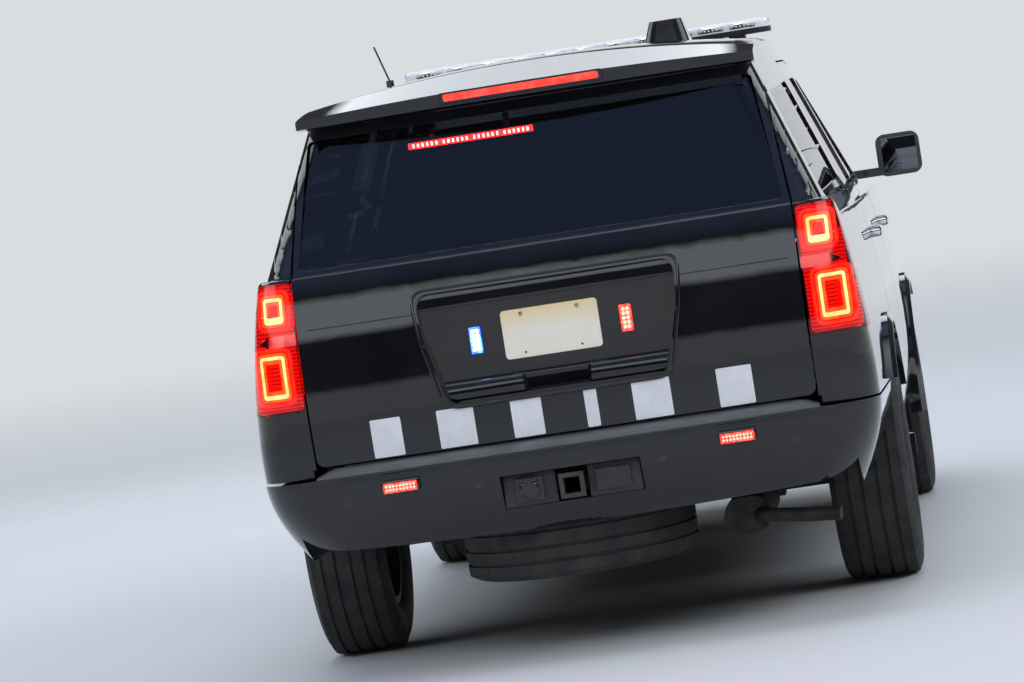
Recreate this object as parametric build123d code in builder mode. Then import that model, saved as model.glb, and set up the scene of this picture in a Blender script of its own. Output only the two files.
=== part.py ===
from build123d import *
import math
import os

# Full-size patrol car of the sport utility kind, body on frame, in millimetres.
# +X points forward, +Y to the car's left and +Z up. The origin is on the ground
# under the middle of the car's length.

# Driving dimensions of the whole car
overall_length = 5182.0
wheelbase = 2946.0
front_overhang = 1041.0
track = 1744.0

# Wheels and tyres
tyre_diameter = 750.0
tyre_width = 265.0
rim_diameter = 432.0
rim_width = 216.0
wheel_bolt_circle = 139.7
wheel_bolt_count = 6
arch_radius = 462.0
arch_lip = 34.0
liner_wall = 8.0

# Walls and gaps
door_wall = 76.0
frame_wall = 46.0
skin_wall = 46.0
lamp_depth = 34.0
glass_wall = 5.0
glass_inset = 8.0
glass_fit = 1.0
panel_gap = 6.0
seat_gap = 0.3

# Body levels above the ground
sill_height = 352.0
shoulder_height = 1240.0
rear_shoulder = 1300.0
door_bottom = 430.0
tailgate_bottom = 706.0
tailgate_top = 1750.0
lamp_bottom = 887.0
lamp_top = 1290.0
hood_lip = 1018.0
fascia_top = 764.0
step_height = 668.0

# Places along the car
fender_end = 1006.0
hood_rear = 1262.0
roof_rear = -2085.0
b_pillar_x = -76.0
side_inner = 560.0
beyond = 3000.0

# Worked-out places
front_x = overall_length / 2
rear_x = -front_x
front_axle_x = front_x - front_overhang
rear_axle_x = front_axle_x - wheelbase
axle_height = tyre_diameter / 2
wheel_y = track / 2

# Plan outlines of the lower body, from the sill up to the shoulder.
# Columns: height, front end, rear end, half width
lower_levels = [
    (330.0, 2478.0, -2496.0, 930.0),
    (600.0, 2545.0, -2534.0, 1003.0),
    (800.0, 2555.0, -2550.0, 1007.0),
    (1000.0, 2536.0, -2542.0, 992.0),
    (1310.0, 2401.0, -2452.0, 945.0),
]
lower_bows = (36.0, 170.0, 26.0)
lower_corners = (230.0, 130.0)

# Plan outlines of the two bumpers, same columns
front_bumper_levels = [
    (262.0, front_x - 88, -2440.0, 880.0),
    (420.0, front_x - 26, -2478.0, 960.0),
    (590.0, front_x, -2500.0, 1002.0),
    (fascia_top, front_x - 26, -2500.0, 1009.0),
]
rear_bumper_levels = [
    (400.0, 2400.0, rear_x + 150, 915.0),
    (500.0, 2400.0, rear_x + 44, 962.0),
    (600.0, 2400.0, rear_x + 4, 998.0),
    (step_height, 2400.0, rear_x, 1009.0),
]
bumper_bows = (36.0, 150.0, 34.0)
bumper_corners = (240.0, 170.0)
bumper_wall = 52.0

# Plan outlines of the greenhouse. Columns: height, front end, rear end,
# half width, front bow, front corner
upper_levels = [
    (1190.0, 1360.0, -2496.0, 949.0, 190.0, 190.0),
    (1960.0, 238.0, -2073.0, 662.0, 70.0, 150.0),
]
upper_side_bow = 26.0
upper_rear_bow = 26.0
upper_rear_corner = 100.0

# Cross-sections of the hood and fender tops. Columns: x, height at the edge
# and crown height in the middle
hood_edge_y = 1060.0
hood_sections = [
    (940.0, 1234.0, 1270.0),
    (1500.0, 1192.0, 1240.0),
    (2150.0, 1112.0, 1166.0),
    (2620.0, 975.0, 1040.0),
]

# Cross-sections of the roof, same columns
roof_edge_y = 1000.0
roof_sections = [
    (-2640.0, 1628.0, 1800.0),
    (-2150.0, 1742.0, 1864.0),
    (-1000.0, 1778.0, 1890.0),
    (100.0, 1762.0, 1884.0),
    (700.0, 1705.0, 1830.0),
    (1400.0, 1540.0, 1665.0),
]
roof_edge_radius = 55.0
shoulder_radius = 16.0
fender_radius = 40.0

# Side outlines, as (x, height) corners
front_door_corners = [(1000, 430), (1000, 1243), (352, 1737), (-64, 1752), (-72, 430)]
rear_door_corners = [(-80, 430), (-80, 1752), (-945, 1745), (-985, 1243), (-985, 430)]
front_window_corners = [(868, 1264), (338, 1672), (-6, 1690), (-12, 1270)]
rear_window_corners = [(-142, 1270), (-142, 1690), (-888, 1682), (-924, 1280)]
quarter_window_corners = [(-1052, 1284), (-1020, 1680), (-2015, 1652), (-2218, 1296)]
rear_door_arch = 524.0
door_corner_radius = 34.0
window_corner_radius = 42.0

os.makedirs("parts", exist_ok=True)


def finish(piece, name):
    """Label a finished piece and write its file."""
    piece.label = name
    export_step(piece, f"parts/{name}.step")


def plan_outline(z, front, rear, width, bows, corners, inset):
    """One plan outline: bowed sides and ends with rounded corners."""
    side_bow, front_bow, rear_bow = bows
    f = front - inset
    r = rear + inset
    w = width - inset
    middle = (f + r) / 2
    with BuildSketch(Plane.XY.offset(z)) as outline:
        with BuildLine():
            ThreePointArc((r + rear_bow, w - side_bow), (middle, w), (f - front_bow, w - side_bow))
            ThreePointArc((f - front_bow, w - side_bow), (f, 0), (f - front_bow, side_bow - w))
            ThreePointArc((f - front_bow, side_bow - w), (middle, -w), (r + rear_bow, side_bow - w))
            ThreePointArc((r + rear_bow, side_bow - w), (r, 0), (r + rear_bow, w - side_bow))
        make_face()
        fillet(outline.vertices().group_by(Axis.X)[-1], radius=corners[0] - inset)
        fillet(outline.vertices().group_by(Axis.X)[0], radius=corners[1] - inset)
    return outline.sketch


def level_form(levels, bows, corners, inset):
    """A form lofted through plan outlines at several heights."""
    with BuildPart() as form:
        for z, front, rear, width in levels:
            add(plan_outline(z, front, rear, width, bows, corners, inset))
        loft()
    return form.part


def upper_form(inset):
    """The greenhouse as if it had no roof."""
    with BuildPart() as form:
        for z, front, rear, width, front_bow, front_corner in upper_levels:
            bows = (upper_side_bow, front_bow, upper_rear_bow)
            corners = (front_corner, upper_rear_corner)
            add(plan_outline(z, front, rear, width, bows, corners, inset))
        loft(ruled=True)
    return form.part


def crowned_solid(sections, edge_y, floor_z, drop=0.0):
    """The space under a crowned surface that runs through the sections."""
    with BuildPart() as crowned:
        for x, edge_z, crown_z in sections:
            with BuildSketch(Plane.YZ.offset(x)):
                with BuildLine():
                    ThreePointArc((edge_y, edge_z - drop), (0, crown_z - drop), (-edge_y, edge_z - drop))
                    Polyline((-edge_y, edge_z - drop), (-edge_y, floor_z), (edge_y, floor_z),
                             (edge_y, edge_z - drop))
                make_face()
        loft()
    return crowned.part


def block(x0, x1, y0, y1, z0, z1):
    """A plain box between two corners."""
    middle = Pos((x0 + x1) / 2, (y0 + y1) / 2, (z0 + z1) / 2)
    return middle * Box(x1 - x0, y1 - y0, z1 - z0, mode=Mode.PRIVATE)


def side_face(corners, radius, grow=0.0):
    """A face in the side view with rounded corners, grown by a gap."""
    with BuildSketch(Plane.XZ) as face:
        Polygon(*corners, align=None)
        fillet(face.vertices(), radius=radius)
        if grow:
            offset(amount=grow)
    return face.sketch


def side_prism(face, side, y_near=side_inner, y_far=1100.0):
    """A face of the side view, run across one side of the car."""
    with BuildPart() as prism:
        with BuildSketch(Plane.XZ.offset(-side * y_near)):
            add(face)
        extrude(amount=-side * (y_far - y_near))
    return prism.part


def end_prism(corners, radius, x0, x1, grow=0.0):
    """An outline of (y, z) corners seen from behind, run along X."""
    with BuildPart() as prism:
        with BuildSketch(Plane.YZ.offset(x0)) as face:
            Polygon(*corners, align=None)
            fillet(face.vertices(), radius=radius)
            if grow:
                offset(amount=grow)
        extrude(amount=x1 - x0)
    return prism.part


def arch(axle_x, side, radius, y_near, y_far):
    """A cylinder across one wheel arch."""
    with BuildPart() as well:
        with BuildSketch(Plane.XZ.offset(-side * y_near)):
            with Locations((axle_x, axle_height)):
                Circle(radius)
        extrude(amount=-side * (y_far - y_near))
    return well.part



# The body's outer form
hood_space = crowned_solid(hood_sections, hood_edge_y, 200.0)
roof_space = crowned_solid(roof_sections, roof_edge_y, 1100.0)
front_zone = block(fender_end - 2, beyond, -beyond, beyond, 0, beyond)

# The shoulder line in the side view: level along the doors, then a soft rise
# to the top of the tail lamps
shoulder_rise = (-2130.0, -2370.0)
with BuildPart() as below_shoulder:
    with BuildSketch(Plane.XZ) as shoulder_side:
        with BuildLine():
            rise_middle = ((shoulder_rise[0] + shoulder_rise[1]) / 2, (shoulder_height + rear_shoulder) / 2)
            Line((beyond, shoulder_height), (shoulder_rise[0], shoulder_height))
            TangentArc((shoulder_rise[0], shoulder_height), rise_middle, tangent=(-1, 0))
            TangentArc((shoulder_rise[1], rear_shoulder), rise_middle, tangent=(1, 0))
            Polyline((shoulder_rise[1], rear_shoulder), (-beyond, rear_shoulder), (-beyond, 0), (beyond, 0),
                     (beyond, shoulder_height))
        make_face()
    extrude(amount=beyond, both=True)
lower_outer = level_form(lower_levels, lower_bows, lower_corners, 0)

with BuildPart() as front_outer:
    add(lower_outer)
    add(front_zone, mode=Mode.INTERSECT)
    add(hood_space, mode=Mode.INTERSECT)
    rim = front_outer.edges().filter_by(lambda e: e.center().Z > 1000 and e.center().X > fender_end + 5)
    fillet(rim, radius=fender_radius)

with BuildPart() as rear_outer:
    add(lower_outer)
    add(front_zone, mode=Mode.SUBTRACT)
    add(below_shoulder.part, mode=Mode.INTERSECT)
    rim = rear_outer.edges().filter_by(
        lambda e: e.bounding_box().min.Z > shoulder_height - 1 and e.center().X < fender_end - 5
        and abs(e.center().Y) > 5)
    rim = rim + rear_outer.edges().filter_by(
        lambda e: e.bounding_box().min.Z > rear_shoulder - 1 and e.center().X < shoulder_rise[1] - 20)
    fillet(rim, radius=shoulder_radius)

with BuildPart() as upper_outer:
    add(upper_form(0))
    add(roof_space, mode=Mode.INTERSECT)
    rim = upper_outer.edges().filter_by(lambda e: e.bounding_box().min.Z > 1600)
    fillet(rim, radius=roof_edge_radius)

# The hollow inside it: engine bay, cabin and load space
lower_inner = level_form([(lower_levels[0][0] - 60,) + lower_levels[0][1:]] + lower_levels[1:],
                         lower_bows, lower_corners, door_wall)

with BuildPart() as inner:
    add(lower_inner)
    add(front_zone, mode=Mode.INTERSECT)
    add(crowned_solid(hood_sections, hood_edge_y, 200.0, drop=skin_wall), mode=Mode.INTERSECT)

with BuildPart() as cabin:
    add(lower_inner)
    add(front_zone, mode=Mode.SUBTRACT)
    add(below_shoulder.part, mode=Mode.INTERSECT)

with BuildPart() as upper_inner:
    add(upper_form(frame_wall))
    add(crowned_solid(roof_sections, roof_edge_y, 1100.0, drop=frame_wall), mode=Mode.INTERSECT)

with BuildPart() as shell:
    add(front_outer.part)
    add(rear_outer.part)
    add(upper_outer.part)
    add(inner.part, mode=Mode.SUBTRACT)
    add(cabin.part, mode=Mode.SUBTRACT)
    add(upper_inner.part, mode=Mode.SUBTRACT)

# Outlines of the openings
front_door_face = side_face(front_door_corners, door_corner_radius)
front_door_hole = side_face(front_door_corners, door_corner_radius, panel_gap)
rear_door_face = side_face(rear_door_corners, door_corner_radius)
rear_door_hole = side_face(rear_door_corners, door_corner_radius, panel_gap)
front_window = side_face(front_window_corners, window_corner_radius)
rear_window = side_face(rear_window_corners, window_corner_radius)
quarter_window = side_face(quarter_window_corners, window_corner_radius)

tailgate_corners = [(785, tailgate_bottom), (790, 1290), (738, tailgate_top), (-738, tailgate_top),
                    (-790, 1290), (-785, tailgate_bottom)]
tailgate_radius = 26.0
back_window_top = 1714.0
back_window_corners = [(768, 1314), (714, back_window_top), (-714, back_window_top), (-768, 1314)]
back_window_radius = 16.0
windscreen_corners = [(800, 1244), (590, 1796), (-590, 1796), (-800, 1244)]
hood_half = 775.0
hood_thick = 60.0
lamp_inner_y = 794.0
headlamp_bottom = 772.0
headlamp_top = 1010.0
headlamp_inner_y = 560.0
headlamp_rear = 2225.0

# Hood, hinged at its rear edge, wrapped down over the nose
with BuildPart() as hood:
    add(shell.part)
    add(block(hood_rear, beyond, -hood_half, hood_half, hood_lip, beyond), mode=Mode.INTERSECT)
    add(upper_form(-panel_gap), mode=Mode.SUBTRACT)
finish(hood.part, "hood")

with BuildPart() as hood_hole:
    add(block(hood_rear - panel_gap, beyond, -hood_half - panel_gap, hood_half + panel_gap,
              hood_lip - panel_gap, beyond))

# Cowl between hood and windscreen, with the firewall below it
firewall_x = 1185.0
firewall_wall = 20.0
floor_level = 560.0
floor_wall = 25.0
with BuildPart() as cowl_panel:
    add(shell.part)
    add(block(fender_end + panel_gap, beyond, -hood_half, hood_half, 1150, 1300), mode=Mode.INTERSECT)
    add(hood_hole.part, mode=Mode.SUBTRACT)
    add(end_prism(windscreen_corners, window_corner_radius, 300, 1500), mode=Mode.SUBTRACT)
    add(block(firewall_x, firewall_x + firewall_wall, -hood_half, hood_half, 700, 1200))
    add(block(firewall_x, firewall_x + firewall_wall, -500, 500, floor_level + floor_wall, 700))
finish(cowl_panel.part, "cowl_panel")

with BuildPart() as roof_panel:
    add(shell.part)
    add(block(roof_rear, 700, -640, 640, tailgate_top, beyond), mode=Mode.INTERSECT)
    add(end_prism(windscreen_corners, window_corner_radius, 300, 1500), mode=Mode.SUBTRACT)
finish(roof_panel.part, "roof_panel")



# Left half of the shell behind the front doors' leading edge
with BuildPart() as left_shell:
    add(shell.part)
    add(block(-beyond, fender_end - 3, 0, beyond, 0, beyond), mode=Mode.INTERSECT)

# Panes follow the greenhouse a little inside its surface
with BuildPart() as glass_skin:
    add(upper_form(glass_inset))
    add(upper_form(glass_inset + glass_wall), mode=Mode.SUBTRACT)

# Tail lamps wrap round the corners of the body, set into its wall
lamp_corners = [(-2800, lamp_bottom), (-2800, lamp_top), (-2328, lamp_top), (-2286, lamp_bottom)]
with BuildPart() as lamp_zone:
    add(side_prism(side_face(lamp_corners, 12.0), 1, lamp_inner_y, 1100))

with BuildPart() as lamp_core:
    add(level_form(lower_levels, lower_bows, lower_corners, lamp_depth))
    add(block(-beyond, beyond, -beyond, beyond, 0, rear_shoulder - lamp_depth), mode=Mode.INTERSECT)
    add(upper_form(lamp_depth - 4))

with BuildPart() as lamp_seat:
    add(level_form(lower_levels, lower_bows, lower_corners, lamp_depth + seat_gap))
    add(block(-beyond, beyond, -beyond, beyond, 0, rear_shoulder - lamp_depth - seat_gap), mode=Mode.INTERSECT)
    add(upper_form(lamp_depth - 4 + seat_gap))

with BuildPart() as tail_lamp_left:
    add(left_shell.part)
    add(lamp_zone.part, mode=Mode.INTERSECT)
    add(lamp_core.part, mode=Mode.SUBTRACT)

with BuildPart() as tail_lamps:
    add(tail_lamp_left.part)
    mirror(tail_lamp_left.part, about=Plane.XZ)

with BuildPart() as lamp_hole:
    add(side_prism(side_face(lamp_corners, 12.0, 1.0), 1, lamp_inner_y - 1, 1100))
    add(lamp_seat.part, mode=Mode.SUBTRACT)

# Body side: pillars, sill, quarter panel and rear wheelhouse in one
rear_floor = 700.0
front_floor = 560.0
floor_wall = 25.0
rocker_y = (800.0, 925.0)
rocker_top = 500.0
pillar_section = [(864, 380), (892, 620), (900, 1000), (862, 1240), (662, 1790), (616, 1790),
                  (816, 1235), (850, 1000), (846, 620), (818, 380)]
pillar_half = 60.0
wheelhouse_inner = 620.0
wheelhouse_outer = 938.0
bumper_seam = step_height + panel_gap

with BuildPart() as tailgate_hole:
    add(end_prism(tailgate_corners, tailgate_radius, -beyond, roof_rear, panel_gap))
    add(block(-beyond, roof_rear, -791, 791, tailgate_bottom - panel_gap, tailgate_bottom + 60))
    add(block(-beyond, roof_rear, -744, 744, tailgate_top - 60, beyond))

with BuildPart() as b_pillar:
    with BuildSketch(Plane.YZ.offset(b_pillar_x - pillar_half)):
        Polygon(*pillar_section, align=None)
    extrude(amount=2 * pillar_half)

with BuildPart() as wheelhouse:
    add(arch(rear_axle_x, 1, arch_radius + liner_wall, wheelhouse_inner, wheelhouse_outer))
    add(arch(rear_axle_x, 1, arch_radius, wheelhouse_inner + liner_wall, wheelhouse_outer + 10), mode=Mode.SUBTRACT)
    add(block(-beyond, beyond, 0, beyond, -beyond, rear_floor - 240), mode=Mode.SUBTRACT)
    add(block(-beyond, beyond, 0, wheelhouse_inner + liner_wall + 1, 0, rear_floor), mode=Mode.SUBTRACT)

lip_inner_y = 960.0
lip_outer_y = 1018.0


def arch_lip_ring(axle_x):
    """The flared lip round one wheel arch, left side."""
    with BuildPart() as ring:
        add(arch(axle_x, 1, arch_radius + arch_lip, lip_inner_y, lip_outer_y))
        edge = ring.edges().filter_by(GeomType.CIRCLE).sort_by(Axis.Y)[-1]
        chamfer(edge, length=15.0, length2=arch_lip - 8)
        add(arch(axle_x, 1, arch_radius, lip_inner_y - 5, lip_outer_y + 5), mode=Mode.SUBTRACT)
        add(block(-beyond, beyond, 0, beyond, -beyond, sill_height), mode=Mode.SUBTRACT)
    return ring.part


with BuildPart() as pillar_foot:
    add(upper_form(0))
    add(upper_form(frame_wall), mode=Mode.SUBTRACT)
    add(block(fender_end - 3, hood_rear, hood_half + 1, beyond, 1191, 1500), mode=Mode.INTERSECT)

with BuildPart() as body_side_left:
    add(left_shell.part)
    add(pillar_foot.part)
    add(block(roof_rear, 700, 0, 640.0, tailgate_top, beyond), mode=Mode.SUBTRACT)
    add(b_pillar.part)
    add(block(-880, fender_end - 3, *rocker_y, sill_height, rocker_top))
    add(block(-2400, -820, wheelhouse_inner, 905, rear_floor, rear_floor + floor_wall))
    add(arch_lip_ring(rear_axle_x))
    add(arch(rear_axle_x, 1, arch_radius, wheelhouse_inner + liner_wall, 1100), mode=Mode.SUBTRACT)
    for hole in (front_door_hole, rear_door_hole):
        add(side_prism(hole, 1), mode=Mode.SUBTRACT)
    add(block(b_pillar_x - 6, b_pillar_x + 16, side_inner, 1100, 424, tailgate_top), mode=Mode.SUBTRACT)
    add(b_pillar.part)
    add(block(-900, fender_end - 3, rocker_y[0], rocker_y[0] + 56, sill_height, front_floor + floor_wall))
    add(block(-beyond, beyond, 0, rocker_y[0], 0, rear_floor), mode=Mode.SUBTRACT)
    add(wheelhouse.part)
    add(side_prism(quarter_window, 1), mode=Mode.SUBTRACT)
    add(block(-beyond, rear_axle_x - 200, 0, beyond, 0, bumper_seam), mode=Mode.SUBTRACT)
    add(block(-2200, beyond, 0, 900, 0, sill_height), mode=Mode.SUBTRACT)
    add(end_prism(windscreen_corners, window_corner_radius, 300, 1500), mode=Mode.SUBTRACT)
    add(tailgate_hole.part, mode=Mode.SUBTRACT)
    add(lamp_hole.part, mode=Mode.SUBTRACT)


def shrunk(face):
    """A window's outline, smaller by the fit of its pane."""
    with BuildSketch(Plane.XZ) as inside:
        add(face)
        offset(amount=-seat_gap)
    return inside.sketch



def mirrored(piece, name, twin):
    """Finish a left piece and its mirror image on the right."""
    finish(piece, name)
    with BuildPart() as other:
        mirror(piece, about=Plane.XZ)
    finish(other.part, twin)


mirrored(body_side_left.part, "body_side_left", "body_side_right")

# Doors with their panes
handle_size = (205.0, 26.0, 30.0)
door_table = [
    ("front_door", front_door_face, front_window, (140.0, 1128.0)),
    ("rear_door", rear_door_face, rear_window, (-800.0, 1122.0)),
]
for name, face, window, handle in door_table:
    with BuildPart() as door:
        add(left_shell.part)
        add(side_prism(face, 1), mode=Mode.INTERSECT)
        if name == "rear_door":
            add(arch(rear_axle_x, 1, rear_door_arch, side_inner, 1100), mode=Mode.SUBTRACT)
        add(side_prism(window, 1), mode=Mode.SUBTRACT)
        with Locations((handle[0], 978.0, handle[1])):
            Box(handle_size[0], 60.0, handle_size[2])
    mirrored(door.part, f"{name}_left", f"{name}_right")
    with BuildPart() as pane:
        add(glass_skin.part)
        add(side_prism(shrunk(window), 1), mode=Mode.INTERSECT)
    mirrored(pane.part, f"{name}_glass_left", f"{name}_glass_right")


# Mirrors on the front doors
mirror_x = (800.0, 925.0)
mirror_y = (985.0, 1150.0)
mirror_z = (1268.0, 1427.0)
with BuildPart() as mirror_left:
    with Locations(((mirror_x[0] + mirror_x[1]) / 2, sum(mirror_y) / 2, sum(mirror_z) / 2)):
        Box(mirror_x[1] - mirror_x[0], mirror_y[1] - mirror_y[0], mirror_z[1] - mirror_z[0])
    fillet(mirror_left.edges().filter_by(Axis.X), radius=34.0)
    fillet(mirror_left.faces().sort_by(Axis.X)[-1].edges(), radius=32.0)
    add(block(mirror_x[0] + 40, mirror_x[0] + 105, 860, mirror_y[0] + 30, mirror_z[0] + 6, mirror_z[0] + 38))
    add(upper_form(-seat_gap), mode=Mode.SUBTRACT)
mirrored(mirror_left.part, "mirror_left", "mirror_right")

# Fixed panes: windscreen and quarter panes
with BuildPart() as fixed_glass:
    add(glass_skin.part)
    add(end_prism(windscreen_corners, window_corner_radius - seat_gap, 300, 1500, -seat_gap), mode=Mode.INTERSECT)
with BuildPart() as quarter_pane:
    add(glass_skin.part)
    add(side_prism(shrunk(quarter_window), 1), mode=Mode.INTERSECT)
with BuildPart() as fixed_panes:
    add(fixed_glass.part)
    add(quarter_pane.part)
    mirror(quarter_pane.part, about=Plane.XZ)
finish(fixed_panes.part, "fixed_glass")

# Liftgate with recess for the number plate
recess_corners = [(410, 1190), (399, 1056), (345, 842), (-345, 842), (-399, 1056), (-410, 1190)]
recess_floor = -2485.0
plate_size = (304.8, 152.4, 1.6)
plate_height = 1026.0
plate_hole_span = (177.8, 120.65)
plate_hole_radius = 3.5
with BuildPart() as liftgate:
    add(shell.part)
    add(end_prism(tailgate_corners, tailgate_radius, -beyond, roof_rear - panel_gap), mode=Mode.INTERSECT)
    add(block(-beyond, roof_rear - panel_gap, -790, 790, tailgate_bottom, tailgate_top), mode=Mode.INTERSECT)
    add(end_prism(recess_corners, 46.0, -beyond, recess_floor), mode=Mode.SUBTRACT)
    add(end_prism(back_window_corners, back_window_radius, -beyond, roof_rear - 20), mode=Mode.SUBTRACT)
    with BuildSketch(Plane.YZ.offset(recess_floor - 10)):
        with Locations((0, plate_height)):
            with GridLocations(*plate_hole_span, 2, 2):
                Circle(plate_hole_radius)
    extrude(amount=90, mode=Mode.SUBTRACT)
finish(liftgate.part, "liftgate")

with BuildPart() as liftgate_glass:
    add(glass_skin.part)
    add(end_prism(back_window_corners, back_window_radius, -beyond, roof_rear - 20, -seat_gap),
        mode=Mode.INTERSECT)
finish(liftgate_glass.part, "liftgate_glass")

# Roof spoiler on top of the liftgate, with the high stop lamp's pocket. Its side
# outline runs from the roof's rear edge over the crease to the lip. Columns:
# station across, height at the roof, crease x and height, lip x and height
spoiler_half = 735.0
spoiler_front = -2091.0
spoiler_foot = tailgate_top + seat_gap
spoiler_stations = [
    (-spoiler_half, 1806.0, -2222.0, 1784.0, -2214.0, 1756.0),
    (0.0, 1866.0, -2296.0, 1803.0, -2286.0, 1760.0),
    (spoiler_half, 1806.0, -2222.0, 1784.0, -2214.0, 1756.0),
]
spoiler_end_radius = 44.0
stop_lamp_half = 250.0
stop_lamp_levels = (1773.0, 1798.0)
stop_lamp_back = -2276.0
with BuildPart() as spoiler_form:
    for y, roof_z, crease_x, crease_z, lip_x, lip_z in spoiler_stations:
        with BuildSketch(Plane.XZ.offset(-y)):
            Polygon((spoiler_front, spoiler_foot), (spoiler_front, roof_z), (crease_x, crease_z), (lip_x, lip_z),
                    (lip_x + 60, spoiler_foot), align=None)
    loft()
    with BuildSketch(Plane.YZ.offset(spoiler_front), mode=Mode.PRIVATE) as spoiler_rear_view:
        with BuildLine():
            ThreePointArc((spoiler_half, spoiler_stations[0][1]), (0, spoiler_stations[1][1] + 2),
                          (-spoiler_half, spoiler_stations[0][1]))
            Polyline((-spoiler_half, spoiler_stations[0][1]), (-spoiler_half, shoulder_height),
                     (spoiler_half, shoulder_height), (spoiler_half, spoiler_stations[0][1]))
        make_face()
        fillet(spoiler_rear_view.vertices().group_by(Axis.Y)[0].sort_by(Axis.Z)[-1], radius=spoiler_end_radius)
        fillet(spoiler_rear_view.vertices().group_by(Axis.Y)[-1].sort_by(Axis.Z)[-1], radius=spoiler_end_radius)
    extrude(spoiler_rear_view.sketch, amount=-400, mode=Mode.INTERSECT)

with BuildPart() as roof_spoiler:
    add(spoiler_form.part)
    add(block(-beyond, stop_lamp_back + seat_gap, -stop_lamp_half - seat_gap, stop_lamp_half + seat_gap,
              stop_lamp_levels[0] - seat_gap, stop_lamp_levels[1] + seat_gap), mode=Mode.SUBTRACT)
finish(roof_spoiler.part, "roof_spoiler")

# Number plate, blank, with its four holes
with BuildPart() as number_plate:
    with BuildSketch(Plane.YZ.offset(recess_floor - seat_gap - plate_size[2])):
        with Locations((0, plate_height)):
            RectangleRounded(plate_size[0], plate_size[1], 12.0)
        with Locations((0, plate_height)):
            with GridLocations(*plate_hole_span, 2, 2):
                Circle(plate_hole_radius, mode=Mode.SUBTRACT)
    extrude(amount=plate_size[2])
finish(number_plate.part, "number_plate")

module_size = (34.0, 84.0, 14.0)
module_y = 237.0
with BuildPart() as liftgate_lamps:
    with BuildSketch(Plane.YZ.offset(recess_floor - seat_gap - module_size[2])):
        with Locations((module_y, plate_height), (-module_y, plate_height)):
            RectangleRounded(module_size[0], module_size[1], 8.0)
    extrude(amount=module_size[2])
    add(spoiler_form.part & block(-beyond, stop_lamp_back, -stop_lamp_half, stop_lamp_half, *stop_lamp_levels))
    add(block(-2194, -2170, -10, 390, 1636, 1662))
    add(block(-2190, -2180, 60, 80, 1662, back_window_top - seat_gap))
    add(block(-2190, -2180, 300, 320, 1662, back_window_top - seat_gap))
finish(liftgate_lamps.part, "liftgate_lamps")

# Bumpers
with BuildPart() as rear_bumper:
    add(level_form(rear_bumper_levels, bumper_bows, bumper_corners, 0))
    add(block(-beyond, rear_axle_x, -beyond, beyond, 0, beyond), mode=Mode.INTERSECT)
    add(level_form([(rear_bumper_levels[0][0] - 40,) + rear_bumper_levels[0][1:]] + rear_bumper_levels[1:],
                   bumper_bows, bumper_corners, bumper_wall) & block(-beyond, beyond, -beyond, beyond, 0, 628),
        mode=Mode.SUBTRACT)
    add(block(-2462, beyond, -880, 880, 0, beyond), mode=Mode.SUBTRACT)
    for side in (1, -1):
        add(arch(rear_axle_x, side, arch_radius + arch_lip + 4, 700, 1100), mode=Mode.SUBTRACT)
    add(block(-beyond, -2400, -220, 220, 494, 600), mode=Mode.SUBTRACT)
    for side in (1, -1):
        a, b = sorted((side * 425, side * 495))
        add(block(-2545, -2455 - seat_gap, a, b, rear_floor - 132, 629))
finish(rear_bumper.part, "rear_bumper")

# Warning lamps set in the rear bumper
with BuildPart() as bumper_lamps:
    for side in (1, -1):
        add(block(-2606, -2580, side * 528 - 54, side * 528 + 54, 600, 632))
    add(level_form(rear_bumper_levels, bumper_bows, bumper_corners, -seat_gap), mode=Mode.SUBTRACT)

with BuildPart() as rear_lamps:
    add(tail_lamps.part)
    add(bumper_lamps.part)
finish(rear_lamps.part, "rear_lamps")

# Front left quarter of the shell
with BuildPart() as front_shell:
    add(shell.part)
    add(block(fender_end, beyond, 0, beyond, 0, beyond), mode=Mode.INTERSECT)

headlamp_depth = 34.0
with BuildPart() as front_core:
    add(level_form(lower_levels, lower_bows, lower_corners, headlamp_depth))
with BuildPart() as headlamp_left:
    add(front_shell.part)
    add(block(headlamp_rear, beyond, headlamp_inner_y + 3, beyond, headlamp_bottom, headlamp_top),
        mode=Mode.INTERSECT)
    add(front_core.part, mode=Mode.SUBTRACT)
with BuildPart() as headlamps:
    add(headlamp_left.part)
    mirror(headlamp_left.part, about=Plane.XZ)
finish(headlamps.part, "headlamps")

# Front fender with its arch lip and liner
liner_inner = 505.0
with BuildPart() as front_liner:
    add(arch(front_axle_x, 1, arch_radius + liner_wall, liner_inner, wheelhouse_outer))
    add(arch(front_axle_x, 1, arch_radius, liner_inner + liner_wall, 1100), mode=Mode.SUBTRACT)
    add(block(-beyond, beyond, 0, beyond, -beyond, front_floor + 6), mode=Mode.SUBTRACT)
    add(block(front_axle_x - 80, front_axle_x + 80, 0, 700, front_floor, 660), mode=Mode.SUBTRACT)
with BuildPart() as fender_left:
    add(front_shell.part)
    add(block(fender_end, headlamp_rear + 400, hood_half - 60, beyond, sill_height, beyond), mode=Mode.INTERSECT)
    add(hood_hole.part, mode=Mode.SUBTRACT)
    add(block(fender_end - 5, hood_rear + 10, 0, hood_half + 1, 1100, beyond), mode=Mode.SUBTRACT)
    add(block(headlamp_rear - seat_gap, beyond, 0, beyond, fascia_top, headlamp_top + seat_gap),
        mode=Mode.SUBTRACT)
    add(block(headlamp_rear - seat_gap, beyond, 0, hood_half + 1, 0, beyond), mode=Mode.SUBTRACT)
    add(block(front_axle_x + 200, beyond, 0, beyond, 0, fascia_top + panel_gap), mode=Mode.SUBTRACT)
    add(arch_lip_ring(front_axle_x) - block(front_axle_x + 200, beyond, 0, beyond, 0, fascia_top + panel_gap))
    add(arch(front_axle_x, 1, arch_radius, 600, 1100), mode=Mode.SUBTRACT)
    add(front_liner.part)
    add(upper_form(-1.0), mode=Mode.SUBTRACT)
with BuildPart() as front_fenders:
    add(fender_left.part)
    mirror(fender_left.part, about=Plane.XZ)
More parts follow.
